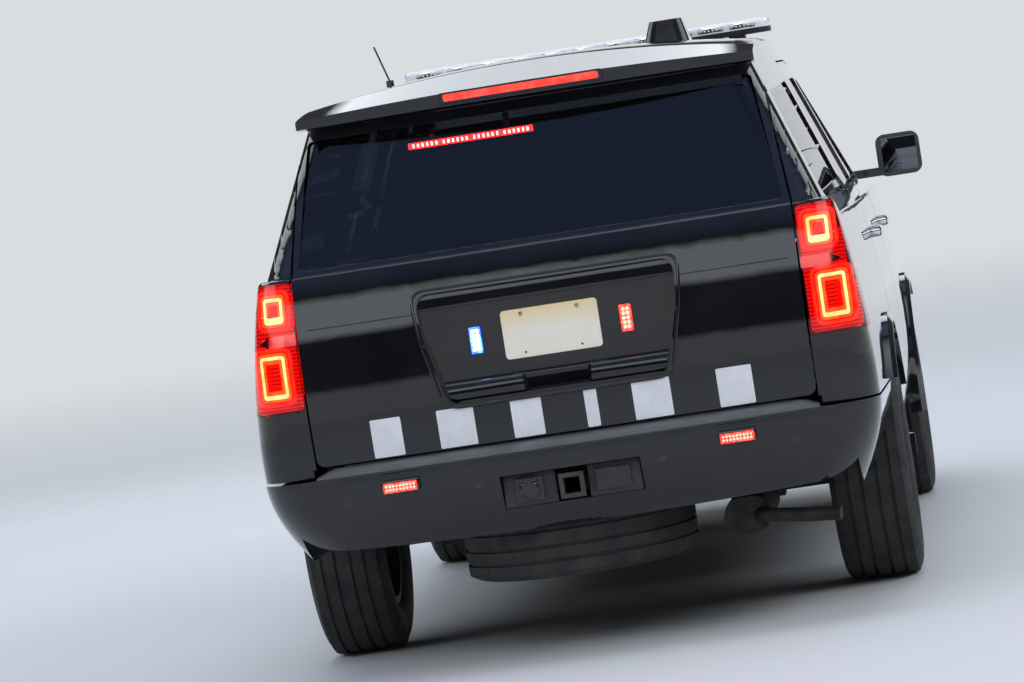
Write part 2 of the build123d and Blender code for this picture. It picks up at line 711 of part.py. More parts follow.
finish(front_fenders.part, "front_fenders")

# Front bumper: fascia with a lower intake
intake_corners = [(520, 420), (560, 600), (-560, 600), (-520, 420)]
with BuildPart() as front_bumper:
    add(level_form(front_bumper_levels, bumper_bows, bumper_corners, 0))
    add(block(front_axle_x, beyond, -beyond, beyond, 0, beyond), mode=Mode.INTERSECT)
    add(level_form([(front_bumper_levels[0][0] - 40,) + front_bumper_levels[0][1:]] + front_bumper_levels[1:],
                   bumper_bows, bumper_corners, bumper_wall) & block(-beyond, beyond, -beyond, beyond, 0, 730),
        mode=Mode.SUBTRACT)
    add(block(0, 2420, -885, 885, 0, beyond), mode=Mode.SUBTRACT)
    for side in (1, -1):
        add(arch(front_axle_x, side, arch_radius + arch_lip + 4, 600, 1100), mode=Mode.SUBTRACT)
    add(end_prism(intake_corners, 30.0, 2400, beyond), mode=Mode.SUBTRACT)
    for side in (1, -1):
        a, b = sorted((side * 400, side * 480))
        add(block(2440 + seat_gap, 2545, a, b, 625, 690))
finish(front_bumper.part, "front_bumper")

# Grille: frame with level bars between the headlamps
grille_bars = 6
grille_edge = 26.0
bar_height = 14.0
slot_depth = 28.0
grille_bottom = fascia_top + seat_gap
with BuildPart() as grille_slots:
    slot_space = headlamp_top - grille_bottom - 2 * grille_edge
    slot_pitch = (slot_space + bar_height) / grille_bars
    with BuildSketch(Plane.YZ.offset(2300)):
        with Locations((0, (grille_bottom + headlamp_top) / 2)):
            with GridLocations(0, slot_pitch, 1, grille_bars):
                RectangleRounded(2 * (headlamp_inner_y - grille_edge), slot_pitch - bar_height, 8.0)
    extrude(amount=600)
    add(level_form(lower_levels, lower_bows, lower_corners, slot_depth), mode=Mode.SUBTRACT)
with BuildPart() as grille:
    add(shell.part)
    add(block(2300, beyond, -headlamp_inner_y + 3, headlamp_inner_y - 3, grille_bottom, headlamp_top),
        mode=Mode.INTERSECT)
    add(grille_slots.part, mode=Mode.SUBTRACT)
finish(grille.part, "grille")

# Wheels: tyre and steel rim with its brake disc
tyre_corner = 34.0
wheel_centres = [
    ("front_left", front_axle_x, 1),
    ("front_right", front_axle_x, -1),
    ("rear_left", rear_axle_x, 1),
    ("rear_right", rear_axle_x, -1),
]


def tyre(plane):
    """A tyre round the plane's own y axis, bead to bead."""
    bead = rim_diameter / 2 + seat_gap
    outside = tyre_diameter / 2
    half = tyre_width / 2
    bead_half = rim_width / 2 - 8
    with BuildPart() as rubber:
        with BuildSketch(plane):
            with BuildLine():
                Polyline((bead + 22, -bead_half + 20), (bead, -bead_half + 20), (bead, -bead_half),
                         (bead + 18, -bead_half))
                ThreePointArc((bead + 18, -bead_half), (bead + 74, -half - 3), (outside - tyre_corner, -half + 6))
                Line((outside - tyre_corner, -half + 6), (outside - 7, -half + tyre_corner))
                ThreePointArc((outside - 7, -half + tyre_corner), (outside, 0), (outside - 7, half - tyre_corner))
                Line((outside - 7, half - tyre_corner), (outside - tyre_corner, half - 6))
                ThreePointArc((outside - tyre_corner, half - 6), (bead + 74, half + 3), (bead + 18, bead_half))
                Polyline((bead + 18, bead_half), (bead, bead_half), (bead, bead_half - 20),
                         (bead + 22, bead_half - 20), (bead + 22, -bead_half + 20))
            make_face()
        revolve(axis=Axis(plane.origin, plane.y_dir))
    return rubber.part


hub_bore = 39.0
disc_offset = 28.0
hand_holes = 12


def rim(plane):
    """A steel rim: barrel, dished disc with hand holes, hub cap."""
    radius = rim_diameter / 2
    half = rim_width / 2
    axis = Axis(plane.origin, plane.y_dir)
    with BuildPart() as wheel:
        with BuildSketch(plane):
            with BuildLine():
                Polyline((radius, -half + 8), (radius + 14, -half + 6), (radius + 14, -half), (radius - 8, -half),
                         (radius - 8, -half + 40), (radius - 26, -half + 60), (radius - 26, half - 50),
                         (radius - 12, half - 24), (radius - 12, half), (radius + 14, half),
                         (radius + 14, half - 6), (radius, half - 8), (radius, half - 26),
                         (radius - 18, half - 52), (radius - 18, -half + 64), (radius, -half + 44),
                         (radius, -half + 8))
            make_face()
            with BuildLine():
                Polyline((0, disc_offset + 44), (34, disc_offset + 44), (42, disc_offset + 34),
                         (46, disc_offset + 10), (88, disc_offset + 10), (120, disc_offset + 34),
                         (158, disc_offset + 30), (radius - 22, disc_offset - 4), (radius - 22, disc_offset - 16),
                         (154, disc_offset + 20), (122, disc_offset + 24), (92, disc_offset),
                         (0, disc_offset), (0, disc_offset + 44))
            make_face()
        revolve(axis=axis)
        face_plane = Plane(origin=plane.origin, x_dir=plane.x_dir, z_dir=plane.y_dir)
        with BuildSketch(face_plane):
            with PolarLocations(150, hand_holes):
                RectangleRounded(22, 40, 9)
        extrude(amount=disc_offset + 60, mode=Mode.SUBTRACT)
    return wheel.part


brake_radius = 165.0
for corner, axle_x, side in wheel_centres:
    centre = (axle_x, side * wheel_y, axle_height)
    plane = Plane(origin=centre, x_dir=(1, 0, 0), z_dir=(0, 0, side))
    finish(tyre(plane), f"tyre_{corner}")
    with BuildPart() as wheel_rim:
        add(rim(plane))
        with BuildSketch(Plane(origin=centre, x_dir=(1, 0, 0), z_dir=(0, side, 0)).offset(disc_offset - 62)):
            Circle(brake_radius)
        extrude(amount=28)
        with BuildSketch(Plane(origin=centre, x_dir=(1, 0, 0), z_dir=(0, side, 0)).offset(disc_offset - 34)):
            Circle(80)
        extrude(amount=34.5)
        with BuildSketch(Plane(origin=centre, x_dir=(1, 0, 0), z_dir=(0, side, 0)).offset(disc_offset - 62)):
            Circle(hub_bore)
        extrude(amount=50, mode=Mode.SUBTRACT)
    finish(wheel_rim.part, f"rim_{corner}")

# Front knuckles with spindle, steering arm and caliper
kingpin_y = 760.0
lower_joint_z = 262.0
upper_joint_z = 488.0
arm_wall = 22.0
stud_radius = 11.0
disc_inner_y = wheel_y + disc_offset - 62
for side, name in ((1, "left"), (-1, "right")):
    with BuildPart() as knuckle:
        add(block(front_axle_x - 26, front_axle_x + 26, kingpin_y - 26, kingpin_y + 26,
                  lower_joint_z + 18, upper_joint_z - 18))
        with BuildSketch(Plane.XZ.offset(-(kingpin_y + 20))):
            with Locations((front_axle_x, axle_height)):
                Circle(62)
        extrude(amount=-(disc_inner_y - 6 - kingpin_y - 20))
        with BuildSketch(Plane.XZ.offset(-(kingpin_y + 20))):
            with Locations((front_axle_x, axle_height)):
                Circle(hub_bore - 0.5)
        extrude(amount=-(disc_inner_y + 44 - kingpin_y - 20))
        with BuildSketch(Plane.XY.offset(lower_joint_z + seat_gap)):
            with Locations((front_axle_x, kingpin_y)):
                Circle(stud_radius)
        extrude(amount=upper_joint_z - lower_joint_z - 2 * seat_gap)
        add(block(front_axle_x - 150, front_axle_x - 20, kingpin_y - 12, kingpin_y + 12, 300, 324))
        caliper = block(front_axle_x + 96, front_axle_x + 168, disc_inner_y - 34, disc_inner_y + 42, 330, 430)
        add(caliper)
        add(block(front_axle_x + 20, front_axle_x + 110, kingpin_y + 10, disc_inner_y - 10, 345, 415))
        with BuildSketch(Plane.XZ.offset(-(disc_inner_y - 7))):
            with Locations((front_axle_x, axle_height)):
                Circle(brake_radius + 7)
        extrude(amount=-(28 + 14), mode=Mode.SUBTRACT)
        with BuildSketch(Plane.XZ.offset(-(kingpin_y + 20))):
            with Locations((front_axle_x, axle_height)):
                Circle(hub_bore - 0.5)
        extrude(amount=-(disc_inner_y + 44 - kingpin_y - 20))
    if side > 0:
        finish(knuckle.part, "knuckle_left")
    else:
        with BuildPart() as twin:
            mirror(knuckle.part, about=Plane.XZ)
        finish(twin.part, "knuckle_right")

# Ladder frame: rails kicked up over the rear axle, crossmembers, arm brackets
rail_inner = 420.0
rail_outer = 500.0
rail_tall = 140.0
rail_side = [(2400, 420), (2400, front_floor), (-906, front_floor), (-1070, rear_floor), (-2455, rear_floor),
             (-2455, rear_floor - rail_tall), (-1100, rear_floor - rail_tall), (-940, 420)]
crossmembers = [(2260, 440, 540), (20, 496, 556), (-820, 446, 540), (-1720, 590, 680), (-2060, 610, 690)]
front_cradle = (1450.0, 1650.0, 240.0, 419.0)
with BuildPart() as ladder_frame:
    with BuildSketch(Plane.XZ.offset(-rail_inner)) as rail_face:
        Polygon(*rail_side, align=None)
    extrude(amount=-(rail_outer - rail_inner))
    mirror(about=Plane.XZ)
    for x, low, high in crossmembers:
        add(block(x - 40, x + 40, -rail_inner - 5, rail_inner + 5, low, high))
    x0, x1, low, high = front_cradle
    add(block(x0, x1, -rail_outer + 8, rail_outer - 8, low, high - 50))
    for side in (1, -1):
        add(block(x0, x1, min(side * 430, side * 492), max(side * 430, side * 492), high - 60, 440))
    add(block(2395, 2440, -600, 600, 480, 700))
    for side in (1, -1):
        a, b = sorted((side * 428, side * 500))
        add(block(front_axle_x - 70, front_axle_x + 70, a, b, 555, 652))
        a, b = sorted((side * 428, side * 660))
        add(block(front_axle_x - 70, front_axle_x + 70, a, b, 640, 652))
    add(block(-2068, -2052, 42, 58, 408 + seat_gap, 615))
finish(ladder_frame.part, "ladder_frame")

# Front suspension arms and dampers, rear links
arm_gap = seat_gap
with BuildPart() as suspension_left:
    with BuildSketch(Plane.XY.offset(lower_joint_z - arm_wall)):
        Polygon((front_axle_x - 98, rail_outer + arm_gap), (front_axle_x - 98, rail_outer + 40),
                (front_axle_x - 34, kingpin_y + 20), (front_axle_x + 34, kingpin_y + 20),
                (front_axle_x + 98, rail_outer + 40), (front_axle_x + 98, rail_outer + arm_gap), align=None)
    extrude(amount=arm_wall)
    with BuildSketch(Plane.XY.offset(upper_joint_z)):
        Polygon((front_axle_x - 110, rail_outer + arm_gap), (front_axle_x - 110, rail_outer + 30),
                (front_axle_x - 28, kingpin_y + 18), (front_axle_x + 28, kingpin_y + 18),
                (front_axle_x + 110, rail_outer + 30), (front_axle_x + 110, rail_outer + arm_gap), align=None)
    extrude(amount=14)
    with BuildSketch(Plane.XY.offset(upper_joint_z)):
        with Locations((front_axle_x, 610)):
            Circle(54)
    extrude(amount=14, mode=Mode.SUBTRACT)
    add(block(front_axle_x - 116, front_axle_x - 92, rail_outer + arm_gap, rail_outer + 12,
              lower_joint_z - arm_wall, upper_joint_z + 14))
    add(block(front_axle_x + 92, front_axle_x + 116, rail_outer + arm_gap, rail_outer + 12,
              lower_joint_z - arm_wall, upper_joint_z + 14))
    add(block(rear_axle_x + 60, -960, 530, 570, 325, 365))
    add(block(-1000, -940, rail_outer + arm_gap, 575, 320, 560))
with BuildPart() as suspension_links:
    add(suspension_left.part)
    mirror(suspension_left.part, about=Plane.XZ)
finish(suspension_links.part, "suspension_links")

spring_table = [
    (front_axle_x, 610.0, lower_joint_z + seat_gap, 640.0 - seat_gap, 40.0),
    (rear_axle_x, 460.0, 430.0 + seat_gap, rear_floor - rail_tall - seat_gap, 58.0),
]
with BuildPart() as springs:
    for x, y, low, high, radius in spring_table:
        for side in (1, -1):
            with BuildSketch(Plane.XY.offset(low)):
                with Locations((x, side * y)):
                    Circle(radius)
            extrude(amount=high - low)
finish(springs.part, "springs")

# Rear axle with its differential, spindles and spring seats
axle_tube = 42.0
with BuildPart() as rear_axle:
    with BuildSketch(Plane.XZ.offset(-738)):
        with Locations((rear_axle_x, axle_height)):
            Circle(axle_tube)
    extrude(amount=2 * 738)
    with BuildSketch(Plane.XZ.offset(-(disc_inner_y + 44))):
        with Locations((rear_axle_x, axle_height)):
            Circle(hub_bore - 0.5)
    extrude(amount=2 * (disc_inner_y + 44))
    with Locations((rear_axle_x, 0, axle_height)):
        Sphere(138)
    for side in (1, -1):
        a, b = sorted((side * 405, side * 515))
        add(block(rear_axle_x - 55, rear_axle_x + 55, a, b, axle_height, 430))
        a, b = sorted((side * 520, side * 580))
        add(block(rear_axle_x - 60, rear_axle_x + 60 - seat_gap, a, b, 320, 420))

shaft_start = Vector(rear_axle_x + 139, 0, axle_height + 4)
shaft_end = Vector(430 - seat_gap, 0, 462)
with BuildPart() as propshaft:
    with BuildSketch(Plane(origin=shaft_start, z_dir=shaft_end - shaft_start)):
        Circle(38)
    extrude(amount=(shaft_end - shaft_start).length)
    add(block(430 - seat_gap, 600, -60, 60, 380, 560), mode=Mode.SUBTRACT)

with BuildPart() as rear_driveline:
    add(rear_axle.part)
    add(propshaft.part)
finish(rear_driveline.part, "rear_axle")

# Engine and gearbox as one plain mass, radiator ahead of them
with BuildPart() as engine_block:
    with Locations((1620, 0, 700)):
        Box(660, 500, 500)
    fillet(engine_block.edges().filter_by(Axis.X), radius=60)
    add(block(430, 1295, -165, 165, 380, 545))
    for side in (1, -1):
        a, b = sorted((side * 240, side * 480))
        add(block(1660, 1740, a, b, front_floor + seat_gap, front_floor + 60))
finish(engine_block.part, "engine_block")

with BuildPart() as radiator:
    add(block(2240, 2290, -400, 400, 540 + seat_gap, 960))
finish(radiator.part, "radiator")

# Fuel tank between the rails
with BuildPart() as fuel_tank:
    with Locations((-400, 240, 445)):
        Box(740, 340, front_floor - seat_gap - 331)
    fillet(fuel_tank.edges().filter_by(Axis.X), radius=40)
finish(fuel_tank.part, "fuel_tank")

# Exhaust: pipe over the rear axle, muffler and tailpipe on the right
pipe_radius = 28.0
exhaust_route = [(1330, -300, 452), (1000, -345, 396), (-960, -345, 396), (-1180, -345, 496), (-1580, -345, 496),
                 (-1770, -490, 352)]
muffler = (-2330.0, -1760.0, -505.0, 349.0)
with BuildPart() as exhaust:
    with BuildLine() as route:
        FilletPolyline(*exhaust_route, radius=90)
    with BuildSketch(Plane(origin=route.wire() @ 0, z_dir=route.wire() % 0)):
        Circle(pipe_radius)
    sweep()
    add(block(1300, 1350, -330, -250 - seat_gap, 452, 500))
    x0, x1, y, z = muffler
    with BuildSketch(Plane.YZ.offset(x0)):
        with Locations((y, z)):
            SlotOverall(150, 116)
    extrude(amount=x1 - x0)
    with BuildLine() as tail_route:
        FilletPolyline((-2310, -540, 345), (-2360, -560, 345), (-2400, -700, 330), (-2420, -800, 322), radius=34)
    with BuildSketch(Plane(origin=tail_route.wire() @ 0, z_dir=tail_route.wire() % 0)):
        Circle(22)
    sweep(path=tail_route.wire())
    for x in (-1900, -2200):
        add(block(x - 12, x + 12, y - 20, y + 20, z + 40, rear_floor - rail_tall - seat_gap))
finish(exhaust.part, "exhaust")

# Spare wheel, lying under the load floor
spare_centre = (-2060.0, 50.0, 376.0)
spare_disc = 52.0
spare_plane = Plane(origin=spare_centre, x_dir=(1, 0, 0), z_dir=(0, -1, 0))
with BuildPart() as spare_wheel:
    add(tyre(spare_plane))
    with BuildSketch(Plane.XY.offset(spare_centre[2] - 20)):
        with Locations(spare_centre[:2]):
            Circle(rim_diameter / 2 + 24)
    extrude(amount=spare_disc)
finish(spare_wheel.part, "spare_wheel")

# Hitch receiver: crossbar under the rails, square tube with collar and pin hole
receiver_height = 543.0
receiver_inner = 50.8
receiver_outer = 63.5
receiver_collar = 78.0
pin_radius = 7.94
pin_x = -2534.0
with BuildPart() as hitch_receiver:
    add(block(-2452, -2390, -rail_outer, rail_outer, receiver_height - 18, rear_floor - rail_tall - seat_gap))
    half = receiver_outer / 2
    add(block(-2590, -2392, -half, half, receiver_height - half, receiver_height + half))
    half = receiver_collar / 2
    add(block(-2592, -2574, -half, half, receiver_height - half, receiver_height + half))
    half = receiver_inner / 2
    add(block(-2600, -2380, -half, half, receiver_height - half, receiver_height + half), mode=Mode.SUBTRACT)
    with BuildSketch(Plane.XZ.offset(-100)):
        with Locations((pin_x, receiver_height)):
            Circle(pin_radius)
    extrude(amount=200, mode=Mode.SUBTRACT)
finish(hitch_receiver.part, "hitch_receiver")

# Floor pan: two levels with a riser, on the rails
with BuildPart() as floor_pan:
    add(block(-900, 1090, -rocker_y[0] + 1, rocker_y[0] - 1, front_floor, front_floor + floor_wall))
    add(block(1080, firewall_x + firewall_wall, -500, 500, front_floor, front_floor + floor_wall))
    add(block(-900, -875, -rocker_y[0] + 1, rocker_y[0] - 1, front_floor, rear_floor + floor_wall))
    add(block(-2440, -900, -wheelhouse_inner + 1, wheelhouse_inner - 1, rear_floor, rear_floor + floor_wall))
finish(floor_pan.part, "floor_pan")

# Dashboard with centre console and steering column
dash_side = [(1184, 1165), (1184, 760), (1010, 690), (860, 760), (820, 900), (790, 1050), (840, 1120), (980, 1165)]
dash_half = 850.0
wheel_place = Vector(585.0, 400.0, 1160.0)
column_tilt = 24.0
column_dir = Vector(math.cos(math.radians(column_tilt)), 0, -math.sin(math.radians(column_tilt)))
with BuildPart() as dashboard:
    with BuildSketch(Plane.XZ) as dash_face:
        Polygon(*dash_side, align=None)
        fillet(dash_face.vertices().filter_by(lambda v: v.X < 1100), radius=24)
    extrude(amount=dash_half, both=True)
    add(block(-80, 900, -125, 125, front_floor + floor_wall, 820))
    with BuildSketch(Plane(origin=wheel_place + column_dir * 45, z_dir=column_dir)):
        Circle(32)
    extrude(amount=240)
finish(dashboard.part, "dashboard")

wheel_ring = 188.0
grip_radius = 15.0
with BuildPart() as steering_wheel:
    with BuildSketch(Plane(origin=wheel_place, x_dir=(0, 1, 0), z_dir=column_dir)) as hub_face:
        Circle(46)
    extrude(amount=45 - seat_gap)
    with BuildSketch(Plane(origin=wheel_place, x_dir=(0, 1, 0), z_dir=column_dir)):
        with PolarLocations(wheel_ring / 2, 3, start_angle=270):
            Rectangle(wheel_ring, 30)
    extrude(amount=16)
    ring_plane = Plane(origin=wheel_place + column_dir * 8, x_dir=(0, 1, 0), z_dir=column_dir)
    add(Location(ring_plane) * Torus(wheel_ring, grip_radius, mode=Mode.PRIVATE))
finish(steering_wheel.part, "steering_wheel")

# Seats: plain forms of the real size
seat_y = 400.0
seat_half = 255.0
seat_side = [(80, 585), (500, 585), (530, 740), (570, 850), (535, 892), (150, 856), (70, 1120), (-10, 1440),
             (-110, 1420), (-60, 1100), (0, 850), (40, 770)]
head_side = [(-20, 1470), (-40, 1640), (-120, 1630), (-110, 1460)]
with BuildPart() as seat_left:
    with BuildSketch(Plane.XZ.offset(-(seat_y - seat_half))) as seat_face:
        Polygon(*seat_side, align=None)
        fillet(seat_face.vertices().filter_by(lambda v: v.Z > 700), radius=18)
    extrude(amount=-2 * seat_half)
    with BuildSketch(Plane.XZ.offset(-(seat_y - 130))):
        Polygon(*head_side, align=None)
    extrude(amount=-260)
    add(block(-82, -62, seat_y - 70, seat_y - 55, 1400, 1500))
    add(block(-82, -62, seat_y + 55, seat_y + 70, 1400, 1500))
with BuildPart() as front_seats:
    add(seat_left.part)
    mirror(seat_left.part, about=Plane.XZ)
finish(front_seats.part, "front_seats")

bench_side = [(-470, 585), (-470, 900), (-540, 940), (-880, 905), (-960, 1150), (-1030, 1500), (-1130, 1480),
              (-1080, 1150), (-1000, 890), (-874, 760), (-874, 585)]
with BuildPart() as rear_bench:
    with BuildSketch(Plane.XZ) as bench_face:
        Polygon(*bench_side, align=None)
        fillet(bench_face.vertices().filter_by(lambda v: v.Z > 800), radius=18)
    extrude(amount=605, both=True)
finish(rear_bench.part, "rear_bench")

# Partition behind the front seats: frame with a window
partition_corners = [(760, 585.3), (800, 1240), (640, 1700), (-640, 1700), (-800, 1240), (-760, 585.3)]
partition_window = [(700, 1160), (720, 1260), (590, 1640), (-590, 1640), (-720, 1260), (-700, 1160)]
with BuildPart() as partition:
    add(end_prism(partition_corners, 20.0, -232, -208))
    add(end_prism(partition_window, 40.0, -300, -200), mode=Mode.SUBTRACT)
    add(end_prism(partition_window, 40.0, -223, -217))
finish(partition.part, "partition")

# Light bar on the roof's front edge, dome and whip antenna further back
bar_x = (250.0, 400.0)
bar_half = 685.0
bar_z = (1874.0, 1928.0)
with BuildPart() as light_bar:
    with Locations((sum(bar_x) / 2, 0, sum(bar_z) / 2)):
        Box(bar_x[1] - bar_x[0], 2 * bar_half, bar_z[1] - bar_z[0])
    fillet(light_bar.edges().filter_by(Axis.Z), radius=60)
    fillet(light_bar.faces().sort_by(Axis.Z)[-1].edges(), radius=20)
    for side in (1, -1):
        with Locations((300, side * 560, 1860)):
            Box(90, 60, 60)
    add(crowned_solid(roof_sections, roof_edge_y, 1100.0, drop=-seat_gap), mode=Mode.SUBTRACT)
finish(light_bar.part, "light_bar")

with BuildPart() as roof_antennas:
    with BuildSketch(Plane.XY.offset(1850)):
        with Locations((-750, -375)):
            RectangleRounded(230, 170, 40)
    with BuildSketch(Plane.XY.offset(1950)):
        with Locations((-760, -380)):
            RectangleRounded(140, 110, 30)
    loft()
    with BuildSketch(Plane.XY.offset(1830)):
        with Locations((-1500, 507)):
            Circle(13)
    extrude(amount=50)
    with BuildSketch(Plane(origin=(-1500, 507, 1878), z_dir=(-0.12, 0.28, 1))):
        Circle(3)
    extrude(amount=125)
    add(crowned_solid(roof_sections, roof_edge_y, 1100.0, drop=-seat_gap), mode=Mode.SUBTRACT)
finish(roof_antennas.part, "roof_antennas")
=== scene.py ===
import math
import bmesh
import bpy
from mathutils import Matrix, Vector
from mathutils.bvhtree import BVHTree


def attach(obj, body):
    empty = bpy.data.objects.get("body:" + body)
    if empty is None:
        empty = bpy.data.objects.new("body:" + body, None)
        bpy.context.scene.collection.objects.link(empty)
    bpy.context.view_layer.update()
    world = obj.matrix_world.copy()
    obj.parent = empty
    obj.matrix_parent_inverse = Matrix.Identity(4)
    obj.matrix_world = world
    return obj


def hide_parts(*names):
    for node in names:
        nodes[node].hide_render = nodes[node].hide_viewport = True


# Looks for the patrol car. Metres, +X forward, +Y to the car's left, +Z up.
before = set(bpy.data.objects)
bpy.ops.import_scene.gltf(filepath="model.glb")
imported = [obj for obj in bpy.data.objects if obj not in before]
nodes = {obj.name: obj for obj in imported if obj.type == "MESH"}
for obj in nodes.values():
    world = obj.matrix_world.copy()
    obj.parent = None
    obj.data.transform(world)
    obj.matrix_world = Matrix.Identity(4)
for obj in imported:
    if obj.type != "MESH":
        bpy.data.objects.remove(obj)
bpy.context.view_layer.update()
scene = bpy.context.scene

# Places taken over from the solids
FRONT_AXLE_X = 1.550
REAR_AXLE_X = -1.396
AXLE_HEIGHT = 0.375
WHEEL_Y = 0.872
TYRE_RADIUS = 0.375
TYRE_HALF_WIDTH = 0.1325
SPARE_CENTRE = (-2.060, 0.050, 0.376)
PLATE_X = -2.4869
PLATE_HEIGHT = 1.026
PLATE_HOLE = (0.0889, 0.0603)
RECESS_WALL = -2.484
SEAT_Y = 0.400
WHEELS = [
    ("front_left", FRONT_AXLE_X, 1),
    ("front_right", FRONT_AXLE_X, -1),
    ("rear_left", REAR_AXLE_X, 1),
    ("rear_right", REAR_AXLE_X, -1),
]
SIDES = ((1, "left"), (-1, "right"))
FORWARD = Vector((1, 0, 0))
REARWARD = Vector((-1, 0, 0))
LEFTWARD = Vector((0, 1, 0))
UPWARD = Vector((0, 0, 1))

# Materials


def new_material(name):
    """An empty node material and its principled shader."""
    mat = bpy.data.materials.new(name)
    mat.use_nodes = True
    return mat, mat.node_tree, mat.node_tree.nodes["Principled BSDF"]


def position(tree):
    """Where a point is on its own object, in metres."""
    return tree.nodes.new("ShaderNodeTexCoord").outputs["Object"]


def height_of(tree):
    """How high a point is on its own object, in metres."""
    split = tree.nodes.new("ShaderNodeSeparateXYZ")
    tree.links.new(position(tree), split.inputs[0])
    return split.outputs["Z"]


def noise(tree, scale, detail=4.0, stretch=(1, 1, 1)):
    """A noise value over the surface, optionally stretched."""
    mapping = tree.nodes.new("ShaderNodeMapping")
    mapping.inputs["Scale"].default_value = stretch
    tree.links.new(position(tree), mapping.inputs["Vector"])
    texture = tree.nodes.new("ShaderNodeTexNoise")
    texture.inputs["Scale"].default_value = scale
    texture.inputs["Detail"].default_value = detail
    tree.links.new(mapping.outputs["Vector"], texture.inputs["Vector"])
    return texture.outputs["Fac"]


def remap(tree, value, to_low=0.0, to_high=1.0, low=0.3, high=0.7):
    """A value between low and high, stretched to another range and held at its ends."""
    node = tree.nodes.new("ShaderNodeMapRange")
    limits = {"From Min": low, "From Max": high, "To Min": to_low, "To Max": to_high}
    for socket, limit in limits.items():
        node.inputs[socket].default_value = limit
    tree.links.new(value, node.inputs["Value"])
    return node.outputs["Result"]


def blend(tree, share, first, second):
    """A colour between two others. Each is a socket or (r, g, b)."""
    node = tree.nodes.new("ShaderNodeMix")
    node.data_type = "RGBA"
    tree.links.new(share, node.inputs[0])
    for socket, colour in ((node.inputs[6], first), (node.inputs[7], second)):
        if isinstance(colour, tuple):
            socket.default_value = (*colour, 1)
        else:
            tree.links.new(colour, socket)
    return node.outputs[2]


def joined(tree, operation, a, b, clamp=False):
    """Two values multiplied or added."""
    node = tree.nodes.new("ShaderNodeMath")
    node.operation = operation
    node.use_clamp = clamp
    tree.links.new(a, node.inputs[0])
    tree.links.new(b, node.inputs[1])
    return node.outputs[0]


def crossed_waves(tree, bands, distortion):
    """Waves multiplied with each other. Each band: its axis, its scale."""
    values = []
    for direction, scale in bands:
        wave = tree.nodes.new("ShaderNodeTexWave")
        wave.bands_direction = direction
        wave.inputs["Scale"].default_value = scale
        wave.inputs["Distortion"].default_value = distortion
        tree.links.new(position(tree), wave.inputs["Vector"])
        values.append(wave.outputs["Fac"])
    crossed = values[0]
    for value in values[1:]:
        crossed = joined(tree, "MULTIPLY", crossed, value)
    return crossed


def bump(tree, shader, height, strength, distance):
    """Small relief on the shader from a height value."""
    node = tree.nodes.new("ShaderNodeBump")
    node.inputs["Strength"].default_value = strength
    node.inputs["Distance"].default_value = distance
    tree.links.new(height, node.inputs["Height"])
    tree.links.new(node.outputs["Normal"], shader.inputs["Normal"])


def finish_shader(tree, shader, tone, gloss, glow=None):
    """Colour and roughness of a shader, and its light where it glows."""
    tree.links.new(tone, shader.inputs["Base Color"])
    tree.links.new(gloss, shader.inputs["Roughness"])
    if glow is not None:
        tree.links.new(tone, shader.inputs["Emission Color"])
        shader.inputs["Emission Strength"].default_value = glow


def mix_shaders(tree, share, first, second):
    """The material's surface, mixed from two shaders."""
    mixed = tree.nodes.new("ShaderNodeMixShader")
    tree.links.new(share, mixed.inputs[0])
    tree.links.new(first.outputs[0], mixed.inputs[1])
    tree.links.new(second.outputs[0], mixed.inputs[2])
    tree.links.new(mixed.outputs[0], tree.nodes["Material Output"].inputs["Surface"])


DUST_FULL = 0.25


def surface(name, colour, second, scale, rough, relief=None, dust=None, stretch=(1, 1, 1), **sockets):
    """A two-tone surface with uneven gloss, fine relief and road dust low down.

    relief is strength, depth in metres and noise scale. dust is its colour,
    the height at which it ends and its share at the bottom.
    """
    mat, tree, shader = new_material(name)
    patches = noise(tree, scale, stretch=stretch)
    tone = blend(tree, remap(tree, patches, low=0.35, high=0.65), colour, second)
    gloss = remap(tree, noise(tree, scale * 2.3, 6.0), *rough)
    if dust:
        dust_colour, top, share = dust
        low_down = remap(tree, height_of(tree), 0.0, share, top, DUST_FULL)
        film = joined(tree, "MULTIPLY", low_down, remap(tree, noise(tree, 3.0, 8.0), 0.3))
        tone = blend(tree, film, tone, dust_colour)
        gloss = joined(tree, "ADD", gloss, film, clamp=True)
    finish_shader(tree, shader, tone, gloss)
    if relief:
        strength, depth, grain = relief
        bump(tree, shader, noise(tree, grain, 3.0, stretch), strength, depth)
    for socket, value in sockets.items():
        shader.inputs[socket.replace("_", " ")].default_value = value
    return mat


def weave(name, colour, second, pitch, relief):
    """Woven cloth: crossed threads with a soft sheen."""
    mat, tree, shader = new_material(name)
    crossed = crossed_waves(tree, [(axis, 1.0 / pitch) for axis in "XYZ"], 0.6)
    patches = noise(tree, 9.0)
    tone = blend(tree, remap(tree, patches), colour, second)
    finish_shader(tree, shader, tone, remap(tree, patches, 0.75, 0.95))
    shader.inputs["Sheen Weight"].default_value = 0.35
    bump(tree, shader, crossed, 0.5, relief)
    return mat


def glowing(name, colour, strength, core, scale):
    """A lit lamp part, unevenly bright."""
    mat, tree, shader = new_material(name)
    spots = noise(tree, scale, 2.0)
    tone = blend(tree, remap(tree, spots, low=0.4, high=0.6), colour, core)
    finish_shader(tree, shader, tone, remap(tree, spots, 0.15, 0.35), strength)
    return mat


def facetted(name, deep, bright, pitch, strength):
    """A ribbed reflector glowing through its lens."""
    mat, tree, shader = new_material(name)
    grid = crossed_waves(tree, [("Y", 0.3 / pitch), ("Z", 0.105 / pitch)], 0.4)
    tone = blend(tree, grid, deep, bright)
    finish_shader(tree, shader, tone, remap(tree, noise(tree, 80.0), 0.12, 0.3), strength)
    bump(tree, shader, grid, 0.6, 0.002)
    return mat


